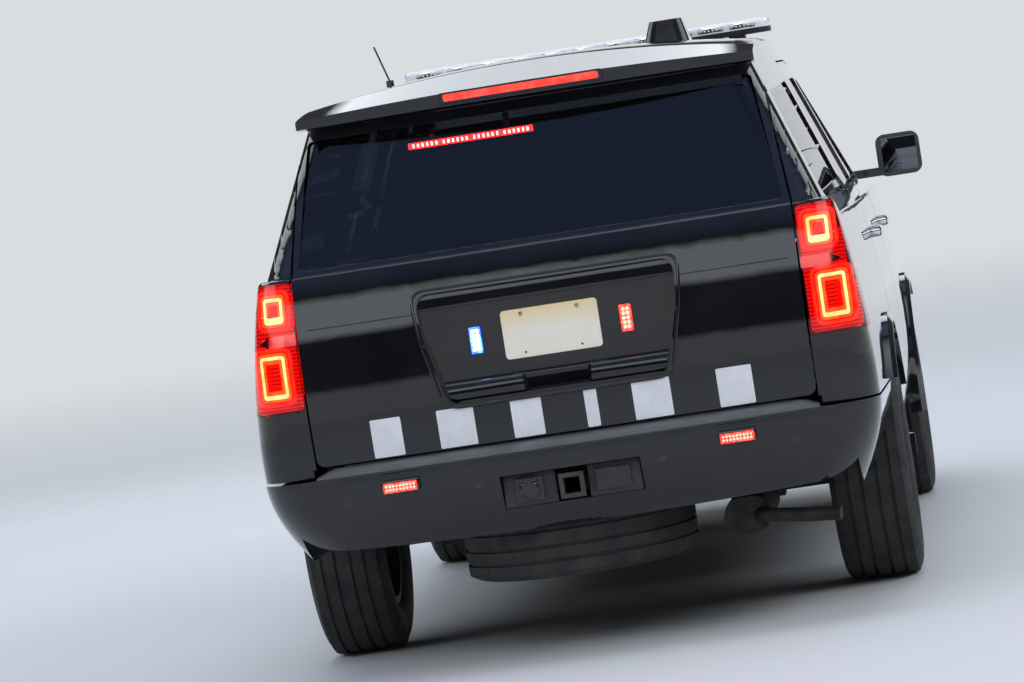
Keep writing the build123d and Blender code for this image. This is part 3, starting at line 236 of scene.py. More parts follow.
def clear(name, colour, second, rough=(0.0, 0.03), ior=1.5, relief=0.0):
    """Glass or clear plastic, tinted through."""
    mat, tree, shader = new_material(name)
    smear = noise(tree, 5.0, 6.0)
    tone = blend(tree, remap(tree, smear), colour, second)
    finish_shader(tree, shader, tone, remap(tree, smear, *rough, low=0.35, high=0.75))
    shader.inputs["Transmission Weight"].default_value = 1.0
    shader.inputs["IOR"].default_value = ior
    if relief:
        bump(tree, shader, noise(tree, 140.0, 1.0), relief, 0.001)
    return mat


def plate_look(name, upper, lower, low, high):
    """Reflective sheet that passes from one tone to another up the plate."""
    mat, tree, shader = new_material(name)
    rise = remap(tree, height_of(tree), low=low, high=high)
    worn = blend(tree, remap(tree, noise(tree, 14.0), 0.0, 0.25), lower, upper)
    finish_shader(tree, shader, blend(tree, rise, worn, upper), remap(tree, noise(tree, 30.0), 0.26, 0.4))
    bump(tree, shader, noise(tree, 900.0), 0.1, 0.0002)
    return mat


def two_level(name, upper, lower, height):
    """One look above a height and another below it. Each is colour, roughness and coat."""
    mat, tree, shader = new_material(name)
    tree.nodes.remove(shader)
    shaders = []
    for colour, rough, coat in (lower, upper):
        part = tree.nodes.new("ShaderNodeBsdfPrincipled")
        tone = blend(tree, remap(tree, noise(tree, 14.0), low=0.35, high=0.65), colour,
                     tuple(0.88 * value for value in colour))
        finish_shader(tree, part, tone, remap(tree, noise(tree, 30.0), rough, rough + 0.12))
        part.inputs["Coat Weight"].default_value = coat
        shaders.append(part)
    step = remap(tree, height_of(tree), low=height - 0.0005, high=height + 0.0005)
    mix_shaders(tree, step, *shaders)
    return mat


ROAD_DUST = (0.16, 0.14, 0.115)
paint = surface("black_paint", (0.004, 0.0045, 0.007), (0.008, 0.008, 0.011), 5.0, (0.02, 0.07),
                (0.03, 0.0004, 260.0), (ROAD_DUST, 0.62, 0.10), Coat_Weight=1.0, Coat_Roughness=0.02,
                Specular_IOR_Level=0.12)
trim = surface("grained_plastic", (0.018, 0.018, 0.019), (0.028, 0.028, 0.029), 14.0, (0.42, 0.6),
               (0.35, 0.0006, 700.0), (ROAD_DUST, 0.7, 0.16))
gloss_trim = surface("gloss_trim", (0.006, 0.006, 0.007), (0.010, 0.010, 0.011), 8.0, (0.06, 0.14),
                     (0.03, 0.0003, 300.0), Coat_Weight=0.6, Coat_Roughness=0.05)
step_rubber = surface("step_rubber", (0.030, 0.031, 0.034), (0.045, 0.046, 0.050), 9.0, (0.5, 0.7),
                      (0.4, 0.0006, 520.0))
step_plastic = surface("step_plastic", (0.088, 0.086, 0.094), (0.115, 0.112, 0.120), 12.0, (0.42, 0.6),
                       (0.4, 0.0006, 620.0))
tyre_rubber = surface("tyre_rubber", (0.014, 0.014, 0.015), (0.030, 0.029, 0.027), 11.0, (0.62, 0.82),
                      (0.4, 0.0007, 420.0))
seal_rubber = surface("seal_rubber", (0.008, 0.008, 0.008), (0.015, 0.015, 0.015), 20.0, (0.5, 0.65),
                      (0.2, 0.0004, 500.0))
rim_paint = surface("wheel_paint", (0.010, 0.010, 0.011), (0.020, 0.020, 0.021), 12.0, (0.22, 0.38),
                    (0.12, 0.0004, 320.0), (ROAD_DUST, 0.9, 0.14), Coat_Weight=0.3)
frame_paint = surface("chassis_paint", (0.014, 0.014, 0.014), (0.040, 0.034, 0.028), 10.0, (0.42, 0.68),
                      (0.3, 0.0008, 260.0), (ROAD_DUST, 0.9, 0.3))
cast_iron = surface("cast_iron", (0.060, 0.058, 0.056), (0.100, 0.084, 0.068), 22.0, (0.55, 0.8),
                    (0.5, 0.001, 300.0), Metallic=0.6)
steel = surface("bare_steel", (0.42, 0.42, 0.42), (0.30, 0.29, 0.28), 30.0, (0.22, 0.42),
                (0.1, 0.0003, 500.0), Metallic=1.0)
spring_steel = surface("coated_spring", (0.020, 0.020, 0.021), (0.045, 0.040, 0.035), 26.0, (0.35, 0.6),
                       (0.2, 0.0005, 300.0))
hot_steel = surface("exhaust_steel", (0.040, 0.037, 0.034), (0.022, 0.018, 0.015), 12.0, (0.5, 0.75),
                    (0.25, 0.0006, 240.0), Metallic=0.7)
chrome = surface("chrome", (0.80, 0.81, 0.83), (0.72, 0.73, 0.75), 18.0, (0.04, 0.1),
                 (0.03, 0.0002, 300.0), Metallic=1.0)
aluminium = surface("finned_aluminium", (0.33, 0.34, 0.35), (0.22, 0.22, 0.22), 16.0, (0.4, 0.6),
                    (0.8, 0.002, 320.0), stretch=(1, 1, 0.05), Metallic=1.0)
plate_sheet = plate_look("plate_sheet", (0.88, 0.72, 0.42), (0.88, 0.84, 0.76), PLATE_HEIGHT + 0.005,
                         PLATE_HEIGHT + 0.066)
white_film = surface("white_film", (0.78, 0.79, 0.82), (0.70, 0.71, 0.75), 16.0, (0.22, 0.38),
                     (0.12, 0.0002, 900.0))
mirror_glass = surface("mirror_glass", (0.16, 0.17, 0.19), (0.13, 0.14, 0.16), 6.0, (0.01, 0.04),
                       Metallic=1.0)
seat_cloth = weave("seat_cloth", (0.020, 0.020, 0.022), (0.034, 0.033, 0.034), 0.004, 0.0012)
seat_vinyl = surface("seat_vinyl", (0.016, 0.016, 0.017), (0.028, 0.027, 0.027), 16.0, (0.35, 0.5),
                     (0.45, 0.0008, 380.0), Sheen_Weight=0.1)
carpet = surface("carpet", (0.020, 0.020, 0.020), (0.036, 0.035, 0.034), 60.0, (0.88, 0.98),
                 (0.9, 0.003, 380.0))
fog_glass = surface("fog_glass", (0.30, 0.31, 0.32), (0.42, 0.43, 0.44), 60.0, (0.05, 0.15),
                    (0.6, 0.001, 160.0), Coat_Weight=1.0)
clear_glass = clear("windscreen_glass", (0.80, 0.86, 0.84), (0.76, 0.83, 0.81))
dark_glass = clear("privacy_glass", (0.16, 0.17, 0.20), (0.13, 0.14, 0.17))
red_lens = clear("red_lens", (1.0, 0.035, 0.025), (0.85, 0.025, 0.018), (0.02, 0.06), 1.45)
clear_lens = clear("clear_lens", (0.93, 0.94, 0.95), (0.88, 0.89, 0.90), (0.02, 0.07), 1.45, 0.2)
lamp_facets = facetted("lamp_facets", (0.20, 0.002, 0.002), (1.0, 0.02, 0.015), 0.004, 0.9)
amber_guide = glowing("amber_guide", (1.0, 0.14, 0.03), 3.0, (1.0, 0.24, 0.05), 40.0)
core_guide = glowing("core_guide", (1.0, 0.62, 0.24), 8.0, (1.0, 0.80, 0.40), 30.0)
red_guide = glowing("red_guide", (1.0, 0.05, 0.03), 2.2, (1.0, 0.09, 0.04), 30.0)
stop_red = glowing("stop_red", (1.0, 0.03, 0.02), 1.1, (1.0, 0.06, 0.04), 26.0)
led_red = glowing("diode_red", (1.0, 0.12, 0.08), 4.0, (1.0, 0.30, 0.22), 300.0)
led_blue = glowing("diode_blue", (0.52, 0.66, 1.0), 9.0, (0.78, 0.87, 1.0), 300.0)
blue_window = glowing("blue_window", (0.010, 0.045, 1.0), 9.0, (0.03, 0.12, 1.0), 60.0)
red_window = glowing("red_window", (1.0, 0.012, 0.008), 6.0, (1.0, 0.04, 0.03), 60.0)
bar_glow = glowing("bar_glow", (1.0, 0.004, 0.003), 70.0, (1.0, 0.008, 0.006), 60.0)
bar_core = glowing("bar_core", (1.0, 0.22, 0.15), 60.0, (1.0, 0.34, 0.26), 200.0)
led_white = glowing("diode_white", (1.0, 0.96, 0.88), 2.2, (0.95, 0.97, 1.0), 200.0)
amber_signal = glowing("amber_signal", (1.0, 0.30, 0.03), 0.5, (1.0, 0.42, 0.08), 60.0)
bar_shell = two_level("bar_shell", ((0.80, 0.82, 0.85), 0.12, 0.8), ((0.015, 0.015, 0.016), 0.35, 0.0), 1.893)

# The look of each solid. A name that ends in * stands for the left and the right one
CAD_LOOKS = [
    (paint, ["hood", "roof_panel", "body_side_*", "front_door_*", "rear_door_*", "liftgate", "roof_spoiler",
             "rear_bumper", "front_fenders", "front_bumper"]),
    (trim, ["cowl_panel", "grille", "fuel_tank", "dashboard", "steering_wheel", "partition"]),
    (gloss_trim, ["mirror_*", "liftgate_lamps", "roof_antennas"]),
    (clear_glass, ["front_door_glass_*"]),
    (dark_glass, ["rear_door_glass_*", "fixed_glass", "liftgate_glass"]),
    (red_lens, ["rear_lamps"]),
    (clear_lens, ["headlamps"]),
    (plate_sheet, ["number_plate"]),
    (cast_iron, ["knuckle_*", "engine_block"]),
    (frame_paint, ["ladder_frame", "suspension_links", "rear_axle", "hitch_receiver"]),
    (spring_steel, ["springs"]),
    (aluminium, ["radiator"]),
    (hot_steel, ["exhaust"]),
    (tyre_rubber, ["spare_wheel", "tyre_front_*", "tyre_rear_*"]),
    (rim_paint, ["rim_front_*", "rim_rear_*"]),
    (carpet, ["floor_pan"]),
    (seat_cloth, ["front_seats"]),
    (seat_vinyl, ["rear_bench"]),
    (bar_shell, ["light_bar"]),
]
CAD_EDGE_ANGLE = 28.0
TYRE_EDGE_ANGLE = 34.0


def smooth_edges(data, angle=32.0):
    """Smooth shading, with the sharp edges kept."""
    for face in data.polygons:
        face.use_smooth = True
    data.set_sharp_from_angle(angle=math.radians(angle))


for look, patterns in CAD_LOOKS:
    for node_name in {pattern.replace("*", side) for pattern in patterns for _, side in SIDES}:
        nodes[node_name].data.materials.clear()
        nodes[node_name].data.materials.append(look)

for node in nodes.values():
    smooth_edges(node.data, CAD_EDGE_ANGLE)

# Mesh tools


def search_tree(*names):
    """The faces of some CAD nodes, to be found by a ray."""
    points, faces = [], []
    for name in names:
        start = len(points)
        mesh = nodes[name].data
        points += [v.co.copy() for v in mesh.vertices]
        faces += [[start + i for i in p.vertices] for p in mesh.polygons]
    return BVHTree.FromPolygons(points, faces)


def add_object(name, data):
    """A new object in the scene."""
    obj = bpy.data.objects.new(name, data)
    scene.collection.objects.link(obj)
    return obj


def mesh_data(name, mesh):
    """Mesh data from a bmesh, which is used up."""
    data = bpy.data.meshes.new(name)
    mesh.to_mesh(data)
    mesh.free()
    return data


def dress(obj, look, body):
    """Give an object its look, body and slot."""
    obj.data.materials.append(look)
    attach(obj, body)


def piece(name, mesh, look, body="chassis"):
    """A new object from a bmesh, dressed and riding on its body."""
    bmesh.ops.recalc_face_normals(mesh, faces=mesh.faces)
    data = mesh_data(name, mesh)
    smooth_edges(data)
    dress(add_object(name, data), look, body)


# For each side to look from: the way a ray goes, and where it starts
VIEWS = {
    "rear": (FORWARD, lambda u, v: Vector((-5, u, v))),
    "front": (REARWARD, lambda u, v: Vector((5, u, v))),
    "left": (-LEFTWARD, lambda u, v: Vector((u, 3, v))),
}


def rounded(u0, u1, v0, v1, radius, steps=5):
    """A rectangle's loop with rounded corners."""
    loop = []
    corners = [(u1 - radius, v1 - radius, 0), (u0 + radius, v1 - radius, 1),
               (u0 + radius, v0 + radius, 2), (u1 - radius, v0 + radius, 3)]
    for cu, cv, quarter in corners:
        for i in range(steps + 1):
            a = math.pi / 2 * (quarter + i / steps)
            loop.append((cu + radius * math.cos(a), cv + radius * math.sin(a)))
    return loop


def sided(loop, side):
    """A loop of (y, z) points on the left or mirrored to the right."""
    return [(side * u, v) for u, v in loop]


def widened(loop, grow):
    """A loop grown about its middle."""
    mu = sum(u for u, _ in loop) / len(loop)
    mv = sum(v for _, v in loop) / len(loop)
    return [(u + grow * (1 if u > mu else -1), v + grow * (1 if v > mv else -1)) for u, v in loop]


def softened(loop, radius, steps=6):
    """A loop with each corner rounded by an arc-like curve."""
    result = []
    for i, corner in enumerate(loop):
        before, here, after = Vector(loop[i - 1]), Vector(corner), Vector(loop[(i + 1) % len(loop)])
        first = here + (before - here).normalized() * min(radius, (before - here).length / 2)
        last = here + (after - here).normalized() * min(radius, (after - here).length / 2)
        for k in range(steps + 1):
            t = k / steps
            result.append(tuple(first * (1 - t) ** 2 + here * 2 * t * (1 - t) + last * t ** 2))
    return result


def spaced(loop, step):
    """A closed loop with points added so that none are far apart."""
    result = []
    for i, point in enumerate(loop):
        start, end = Vector(loop[i - 1]), Vector(point)
        count = max(1, int((end - start).length / step))
        for k in range(count):
            result.append(tuple(start.lerp(end, (k + 1) / count)))
    return result


def on_surface(loop, view, tree, lift=0.0):
    """The points of a loop, laid on a surface."""
    direction, place = VIEWS[view]
    found = []
    for u, v in loop:
        start = place(u, v)
        hit = tree.ray_cast(start, direction)[0]
        if hit is None:
            hit = tree.find_nearest(start)[0]
        found.append(hit - direction * lift)
    return found


def inlay(name, loops, view, tree, lift, thick, look, body="chassis", step=0.03):
    """A plate of the loops' shape, laid on a surface seen from one side.

    The first loop is the outline and the others are holes. lift is how far
    its face stands above the surface, and step how far apart its points are.
    """
    direction, place = VIEWS[view]
    mesh = bmesh.new()
    edges = []
    for loop in loops:
        ring = [mesh.verts.new((u, v, 0)) for u, v in loop]
        edges += [mesh.edges.new((ring[i - 1], ring[i])) for i in range(len(ring))]
    bmesh.ops.triangle_fill(mesh, edges=edges, use_beauty=True)
    for axis, normal in enumerate((FORWARD, LEFTWARD)):
        values = [v.co[axis] for v in mesh.verts]
        low, high = min(values), max(values)
        count = int((high - low) / step)
        for i in range(1, count + 1):
            at = normal * (low + (high - low) * i / (count + 1))
            geometry = mesh.verts[:] + mesh.edges[:] + mesh.faces[:]
            bmesh.ops.bisect_plane(mesh, geom=geometry, plane_co=at, plane_no=normal, dist=1e-5)
    missed = []
    for vertex in mesh.verts:
        hit = tree.ray_cast(place(vertex.co.x, vertex.co.y), direction)[0]
        if hit is None:
            missed.append(vertex)
        else:
            vertex.co = hit - direction * lift
    bmesh.ops.delete(mesh, geom=missed, context="VERTS")
    made = bmesh.ops.extrude_face_region(mesh, geom=mesh.faces[:])
    back = [g for g in made["geom"] if isinstance(g, bmesh.types.BMVert)]
    bmesh.ops.translate(mesh, verts=back, vec=direction * thick)
    piece(name, mesh, look, body)


def lamp_parts(prefix, parts, side_name, view, tree):
    """Thin plates behind a lens, from a table with a row for each."""
    side = dict((name, sign) for sign, name in SIDES)[side_name]
    for part, loops, depth, thick, look, step in parts:
        shapes = [sided(rounded(*loop), side) for loop in loops]
        inlay(f"{prefix}{part}_{side_name}", shapes, view, tree, -depth, thick, look, step=step)


def box_mesh(mesh, low, high, radius, segments=2):
    """A box between two corners, with rounded edges, added to the mesh."""
    low, high = Vector(low), Vector(high)
    made = bmesh.ops.create_cube(mesh, size=1.0)["verts"]
    for vertex in made:
        vertex.co = Vector([low[i] + (vertex.co[i] + 0.5) * (high[i] - low[i]) for i in range(3)])
    edges = list({e for v in made for e in v.link_edges})
    bmesh.ops.bevel(mesh, geom=edges, offset=radius, segments=segments, profile=0.5, affect="EDGES")


def slab(span, y, z, half_y, half_z, radius, segments=2):
    """One row for boxes: a box between two x, about a middle in y and z."""
    return (span[0], y - half_y, z - half_z), (span[1], y + half_y, z + half_z), radius, segments


def boxes(name, rows, look, body="chassis"):
    """A piece made of boxes. Each row: low corner, high corner, edge radius, segments."""
    mesh = bmesh.new()
    for row in rows:
        box_mesh(mesh, *row)
    piece(name, mesh, look, body)


def swept(mesh, rows, closed=False):
    """Skin round rows of points, capped at both ends or closed on itself."""
    rings = [[mesh.verts.new(point) for point in row] for row in rows]
    if closed:
        rings.append(rings[0])
    for first, second in zip(rings, rings[1:]):
        for j in range(len(first)):
            mesh.faces.new((first[j - 1], first[j], second[j], second[j - 1]))
    if not closed:
        mesh.faces.new(rings[0])
        mesh.faces.new(rings[-1])


def turned_mesh(mesh, profile, centre, axis, steps):
    """A body of revolution from (radius, along) points, added to the mesh."""
    turn = UPWARD.rotation_difference(Vector(axis)).to_matrix()
    rows = []
    for radius, along in profile:
        angles = [2 * math.pi * i / steps for i in range(steps)]
        rows.append([Vector(centre) + turn @ Vector((radius * math.cos(a), radius * math.sin(a), along))
                     for a in angles])
    swept(mesh, rows)


def turned(name, profile, centre, axis, steps, look):
    """A piece of the chassis that is one body of revolution."""
    mesh = bmesh.new()
    turned_mesh(mesh, profile, centre, axis, steps)
    piece(name, mesh, look)


def tube(name, points, radius, look, body="chassis", closed=False):
    """A round bead along some points."""
    curve = bpy.data.curves.new(name, "CURVE")
    curve.dimensions = "3D"
    curve.bevel_depth = radius
    curve.bevel_resolution = 3
    spline = curve.splines.new("POLY")
    spline.points.add(len(points) - 1)
    for target, point in zip(spline.points, points):
        target.co = (*point, 1)
    spline.use_cyclic_u = closed
    obj = add_object(name, curve)
    dress(obj, look, body)
    return obj


# Wheels
TREAD_STEPS = 216
TREAD_TURN = 2 * math.pi / TREAD_STEPS
TREAD_DEPTH = 0.008
TREAD_HALF = 0.11
TREAD_DROP = 0.0045
SHOULDER_SLOPE = 0.12
GROOVE_SLOPE = 0.0015
NOTCH_DEPTH = 0.006
NOTCH_EVERY = 3
SHOULDER = (-0.111, -0.099)
# Grooves round the tread. Columns: middle, half width
GROOVES = [(-0.071, 0.006), (-0.026, 0.0055), (0.026, 0.0055), (0.071, 0.006)]
# Tyre profile from bead to tread edge. Columns: radius, half width
SIDEWALL = [
    (0.2165, 0.100), (0.236, 0.104), (0.246, 0.117), (0.262, 0.126), (0.286, 0.1315), (0.306, 0.1322),
    (0.322, 0.1295), (0.3235, 0.1262), (0.3275, 0.1262), (0.330, 0.1288), (0.345, 0.1245), (0.357, 0.1175),
]
# Turned profiles. Columns: radius, distance along the axis
NUT = [(0.0135, 0), (0.0135, 0.004), (0.0105, 0.006), (0.0105, 0.022), (0.006, 0.026)]
HUB_CAP = [(0.0355, 0.0), (0.0355, 0.008), (0.031, 0.0105), (0.012, 0.012), (0.0, 0.012)]
VALVE = [(0.005, 0), (0.004, 0.02), (0.0055, 0.022), (0.0055, 0.034), (0.003, 0.036)]
SPARE_DISC = [(0.0, -0.020), (0.060, -0.020), (0.075, -0.012), (0.120, -0.004), (0.165, -0.010),
              (0.200, -0.030), (0.214, -0.075), (0.224, -0.082), (0.227, -0.075), (0.216, -0.020),
              (0.214, 0.075), (0.226, 0.082), (0.222, 0.090), (0.205, 0.070), (0.190, 0.012),
              (0.120, 0.016), (0.0, 0.016)]
SPARE_RIM = [(0.020, 0.002), (0.020, -0.001), (0.017, -0.003), (0.014, 0.0), (0.0, 0.004)]
NUTS = 6
NUT_RING = 0.0699
NUT_SEAT = 0.0375
CAP_SEAT = 0.0715
VALVE_PLACE = (0.168, 0.052)
SPARE_HOLES = 8
SPARE_HOLE_RING = 0.148
SPARE_HOLE_DROP = 0.0105


def tyre_profile():
    """The whole cross-section as (radius, across, is tread shoulder)."""
    left = [(r, -w, False) for r, w in SIDEWALL]
    edge = abs(SHOULDER[0])
    tread = [(TYRE_RADIUS - TREAD_DROP + (edge - abs(across)) * SHOULDER_SLOPE, across, True)
             for across in SHOULDER]
    edges = []
    for middle, half in GROOVES:
        edges += [(middle - half, 0.0), (middle - half + GROOVE_SLOPE, TREAD_DEPTH),
                  (middle + half - GROOVE_SLOPE, TREAD_DEPTH), (middle + half, 0.0)]
    crown = [(TYRE_RADIUS - TREAD_DROP * (across / TREAD_HALF) ** 2 - depth, across, False)
             for across, depth in edges]
    right = [(r, -a, s) for r, a, s in reversed(left + tread)]
    return left + tread + crown + right


def tyre_mesh():
    """A road tyre round the Y axis with grooves and shoulder blocks."""
    rows = []
    for step in range(TREAD_STEPS):
        row = []
        for radius, across, shoulder in tyre_profile():
            a = TREAD_TURN * (step + across / TYRE_HALF_WIDTH)
            r = radius - (NOTCH_DEPTH if shoulder and step % NOTCH_EVERY == 0 else 0.0)
            row.append((r * math.cos(a), across, r * math.sin(a)))
        rows.append(row)
    mesh = bmesh.new()
    swept(mesh, rows, closed=True)
    bmesh.ops.recalc_face_normals(mesh, faces=mesh.faces)
    return mesh


tyre_data = mesh_data("tyre_form", tyre_mesh())
tyre_data.materials.append(tyre_rubber)
smooth_edges(tyre_data, TYRE_EDGE_ANGLE)


def place_tyre(name, centre, turn, body, node_name):
    """One tyre standing for its CAD solid."""
    obj = add_object(name, tyre_data)
    obj.matrix_world = Matrix.Translation(centre) @ turn
    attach(obj, body)
    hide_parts(node_name)


def wheel_nuts(corner, centre, side):
    """The nuts, the valve and the centre cap's rim on one wheel."""
    mesh = bmesh.new()
    out = Vector((0, side, 0))
    for i in range(NUTS):
        a = 2 * math.pi * (i + 0.5) / NUTS
        at = centre + out * NUT_SEAT + Vector((NUT_RING * math.cos(a), 0, NUT_RING * math.sin(a)))
        turned_mesh(mesh, NUT, at, out, 6)
    turned_mesh(mesh, HUB_CAP, centre + out * CAP_SEAT, out, 40)
    turned_mesh(mesh, VALVE, centre + Vector((VALVE_PLACE[0], side * VALVE_PLACE[1], 0)), out, 12)
    piece("nuts_" + corner, mesh, steel, "wheel_" + corner)


def spare_disc():
    """The dished steel disc of the spare wheel, with its holes' rims and the winch plate below."""
    mesh = bmesh.new()
    turned_mesh(mesh, SPARE_DISC, SPARE_CENTRE, UPWARD, 64)
    for i in range(SPARE_HOLES):
        a = 2 * math.pi * i / SPARE_HOLES
        ring = Vector((SPARE_HOLE_RING * math.cos(a), SPARE_HOLE_RING * math.sin(a), -SPARE_HOLE_DROP))
        turned_mesh(mesh, SPARE_RIM, Vector(SPARE_CENTRE) + ring, UPWARD, 20)
    piece("spare_disc", mesh, frame_paint)


for corner, axle_x, side in WHEELS:
    middle = Vector((axle_x, side * WHEEL_Y, AXLE_HEIGHT))
    facing = Matrix.Identity(4) if side > 0 else Matrix.Rotation(math.pi, 4, "Z")
    place_tyre("road_tyre_" + corner, middle, facing, "wheel_" + corner, "tyre_" + corner)
    wheel_nuts(corner, middle, side)
spare_disc()
place_tyre("spare_tyre", SPARE_CENTRE, Matrix.Rotation(math.pi / 2, 4, "X"), "chassis", "spare_wheel")

# Rear lamps
lamp_tree = search_tree("rear_lamps")
gate_tree = search_tree("liftgate", "roof_spoiler")
bumper_tree = search_tree("rear_bumper")

# Light guides inside each lamp, left side. Columns: inner y, outer y, low z, high z
UPPER_GUIDE = (0.820, 0.900, 1.157, 1.255)
LOWER_GUIDE = (0.832, 0.930, 0.926, 1.077)


def inset(guide, across, below, above, corner):
    """A light guide's rectangle drawn in on its sides, bottom and top, with a corner radius."""
    u0, u1, v0, v1 = guide
    return u0 + across, u1 - across, v0 + below, v1 - above, corner


# Columns: name, light guide, its corner radius, how far its opening is drawn in on the
# sides, bottom and top, and how far that of its bright core is drawn in at the bottom
GUIDES = [
    ("upper", UPPER_GUIDE, 0.014, (0.024, 0.024, 0.030), 0.030),
    ("lower", LOWER_GUIDE, 0.016, (0.026, 0.034, 0.032), 0.022),
]
# Parts behind the lens. Columns: name, loops, depth behind its face, thickness, look, step
TAIL_LAMP_PARTS = [("lamp_back", [(0.799, 0.955, 0.893, 1.284, 0.012)], 0.026, 0.002, lamp_facets, 0.03)]
for part, guide, corner, opening, core_foot in GUIDES:
    TAIL_LAMP_PARTS += [
        ("core_" + part,
         [inset(guide, 0.008, 0.009, 0.009, 0.010), inset(guide, 0.017, core_foot, 0.019, 0.005)],
         0.010, 0.001, core_guide, 0.02),
        ("guide_" + part, [(*guide, corner), inset(guide, *opening, 0.006)], 0.012, 0.008, amber_guide, 0.02),
        ("halo_" + part, [inset(guide, *[-0.014] * 3, 0.024), inset(guide, *[-0.004] * 3, 0.016)],
         0.015, 0.006, red_guide, 0.02),
    ]
REVERSE_STRIP = [(0.7955, 1.095), (0.884, 1.093), (0.922, 1.110), (0.884, 1.131), (0.7955, 1.131)]
REVERSE_MIDDLE = 1.112
REVERSE_SHARE = 0.96
REVERSE_BACK = [(u, REVERSE_MIDDLE + (v - REVERSE_MIDDLE) * REVERSE_SHARE) for u, v in REVERSE_STRIP]
# Columns: name, loop, lift, thickness, look
REVERSE_PARTS = [
    ("reverse_strip_", REVERSE_STRIP, 0.0012, 0.004, clear_lens),
    ("reverse_back_", REVERSE_BACK, -0.003, 0.001, chrome),
]

for side, name in SIDES:
    lamp_parts("", TAIL_LAMP_PARTS, name, "rear", lamp_tree)
    for part, strip, lift, thick, look in REVERSE_PARTS:
        inlay(part + name, [sided(strip, side)], "rear", lamp_tree, lift, thick, look,
              step=0.02)

# Liftgate
RECESS = [(0.410, 1.190), (0.399, 1.056), (0.345, 0.842), (-0.345, 0.842), (-0.399, 1.056), (-0.410, 1.190)]
# Six plain white reflective blocks on the lower liftgate. Columns: left end, right end
BLOCKS = [(0.601, 0.504), (0.390, 0.273), (0.157, 0.060),
          (-0.074, -0.114), (-0.224, -0.343), (-0.488, -0.598)]
BLOCK_LOW = 0.709
BLOCK_HIGH = 0.829
SCREW = [(0.0065, 0), (0.0065, 0.001), (0.0052, 0.0024), (0.0022, 0.0028), (0.0018, 0.0016), (0, 0.0016)]
MODULE_Y = 0.237
MODULE_FACES = (-2.5022, -2.4980)
DIODE_SINK = 0.0004
SCREW_SINK = 0.0002
WINDOW_BAR_Y = 0.190
WINDOW_BAR_Z = 1.6505
WINDOW_BAR_FACES = (-2.1958, -2.1930)
BAR_DIODE_FACES = (-2.1978, -2.1950)
BAR_GROUP_PITCH = 0.098
BAR_DIODE_PITCH = 0.0148
SEAM_LIFT = 0.0004
SEAM_THICK = 0.0003
SEAM = [(0.418, 1.1320), (0.7895, 1.1320), (0.7895, 1.1350), (0.418, 1.1350)]
PILLAR_GLASS = [(0.797, 1.302), (0.905, 1.302), (0.760, 1.715), (0.744, 1.715)]

inlay("recess_lip", [softened(widened(RECESS, 0.014), 0.05), softened(widened(RECESS, 0.001), 0.046)], "rear",
      gate_tree, 0.004, 0.012, paint, "liftgate", 0.02)
bead = on_surface(spaced(softened(widened(RECESS, 0.012), 0.05), 0.015), "rear", gate_tree, 0.003)
tube("recess_bead", bead, 0.0055, paint, "liftgate", True)
for number, (left_end, right_end) in enumerate(BLOCKS):
    inlay(f"white_block_{number}", [rounded(right_end, left_end, BLOCK_LOW, BLOCK_HIGH, 0.004, 2)], "rear",
          gate_tree, 0.0006, 0.0004, white_film, "liftgate")


def plate_screws():
    """Two screws in the upper plate holes."""
    mesh = bmesh.new()
    for side in (-1, 1):
        at = (PLATE_X + SCREW_SINK, side * PLATE_HOLE[0], PLATE_HEIGHT + PLATE_HOLE[1])
        turned_mesh(mesh, SCREW, at, REARWARD, 24)
    piece("plate_screws", mesh, steel, "liftgate")


def plate_rim():
    """The plate's pressed border."""
    loops = [rounded(-half, half, PLATE_HEIGHT - rise, PLATE_HEIGHT + rise, corner)
             for half, rise, corner in ((0.148, 0.072, 0.010), (0.145, 0.069, 0.008))]
    inlay("plate_border", loops, "rear", search_tree("number_plate"), 0.0008, 0.0008, plate_sheet, "liftgate",
          0.05)


def diode_block(name, place, counts, pitch, radius, look, body="chassis"):
    """Rows of small lit domes facing rearwards, about a middle place."""
    mesh = bmesh.new()
    dome = [(radius, 0), (radius * 0.9, radius * 0.5), (radius * 0.5, radius * 0.9), (0, radius)]
    for i in range(counts[0]):
        for j in range(counts[1]):
            shift = ((i - (counts[0] - 1) / 2) * pitch[0], (j - (counts[1] - 1) / 2) * pitch[1])
            turned_mesh(mesh, dome, Vector(place) + Vector((0, *shift)), REARWARD, 10)
    piece(name, mesh, look, body)


def warning_module(name, y, glow, core):
    """One upright warning lamp beside the plate: bright window and diodes."""
    window = slab(MODULE_FACES, y, PLATE_HEIGHT, 0.0175, 0.041, 0.0035, 3)
    boxes(name + "_window", [window], glow, "liftgate")
    foot = (MODULE_FACES[0] + DIODE_SINK, y, PLATE_HEIGHT)
    diode_block(name + "_diodes", foot, (2, 5), (0.0130, 0.0140), 0.0062, core, "liftgate")


def window_bar():
    """The lit bar behind the back window: four groups of upright diodes over a red strip."""
    strip = slab(WINDOW_BAR_FACES, WINDOW_BAR_Y, WINDOW_BAR_Z, 0.200, 0.0095, 0.0008, 1)
    boxes("bar_strip", [strip], bar_glow, "liftgate")
    places = [WINDOW_BAR_Y + (group - 1.5) * BAR_GROUP_PITCH + (i - 2.5) * BAR_DIODE_PITCH
              for group in range(4) for i in range(6)]
    diodes = [slab(BAR_DIODE_FACES, y, WINDOW_BAR_Z, 0.0028, 0.0055, 0.0012) for y in places]
    boxes("bar_diodes", diodes, bar_core, "liftgate")


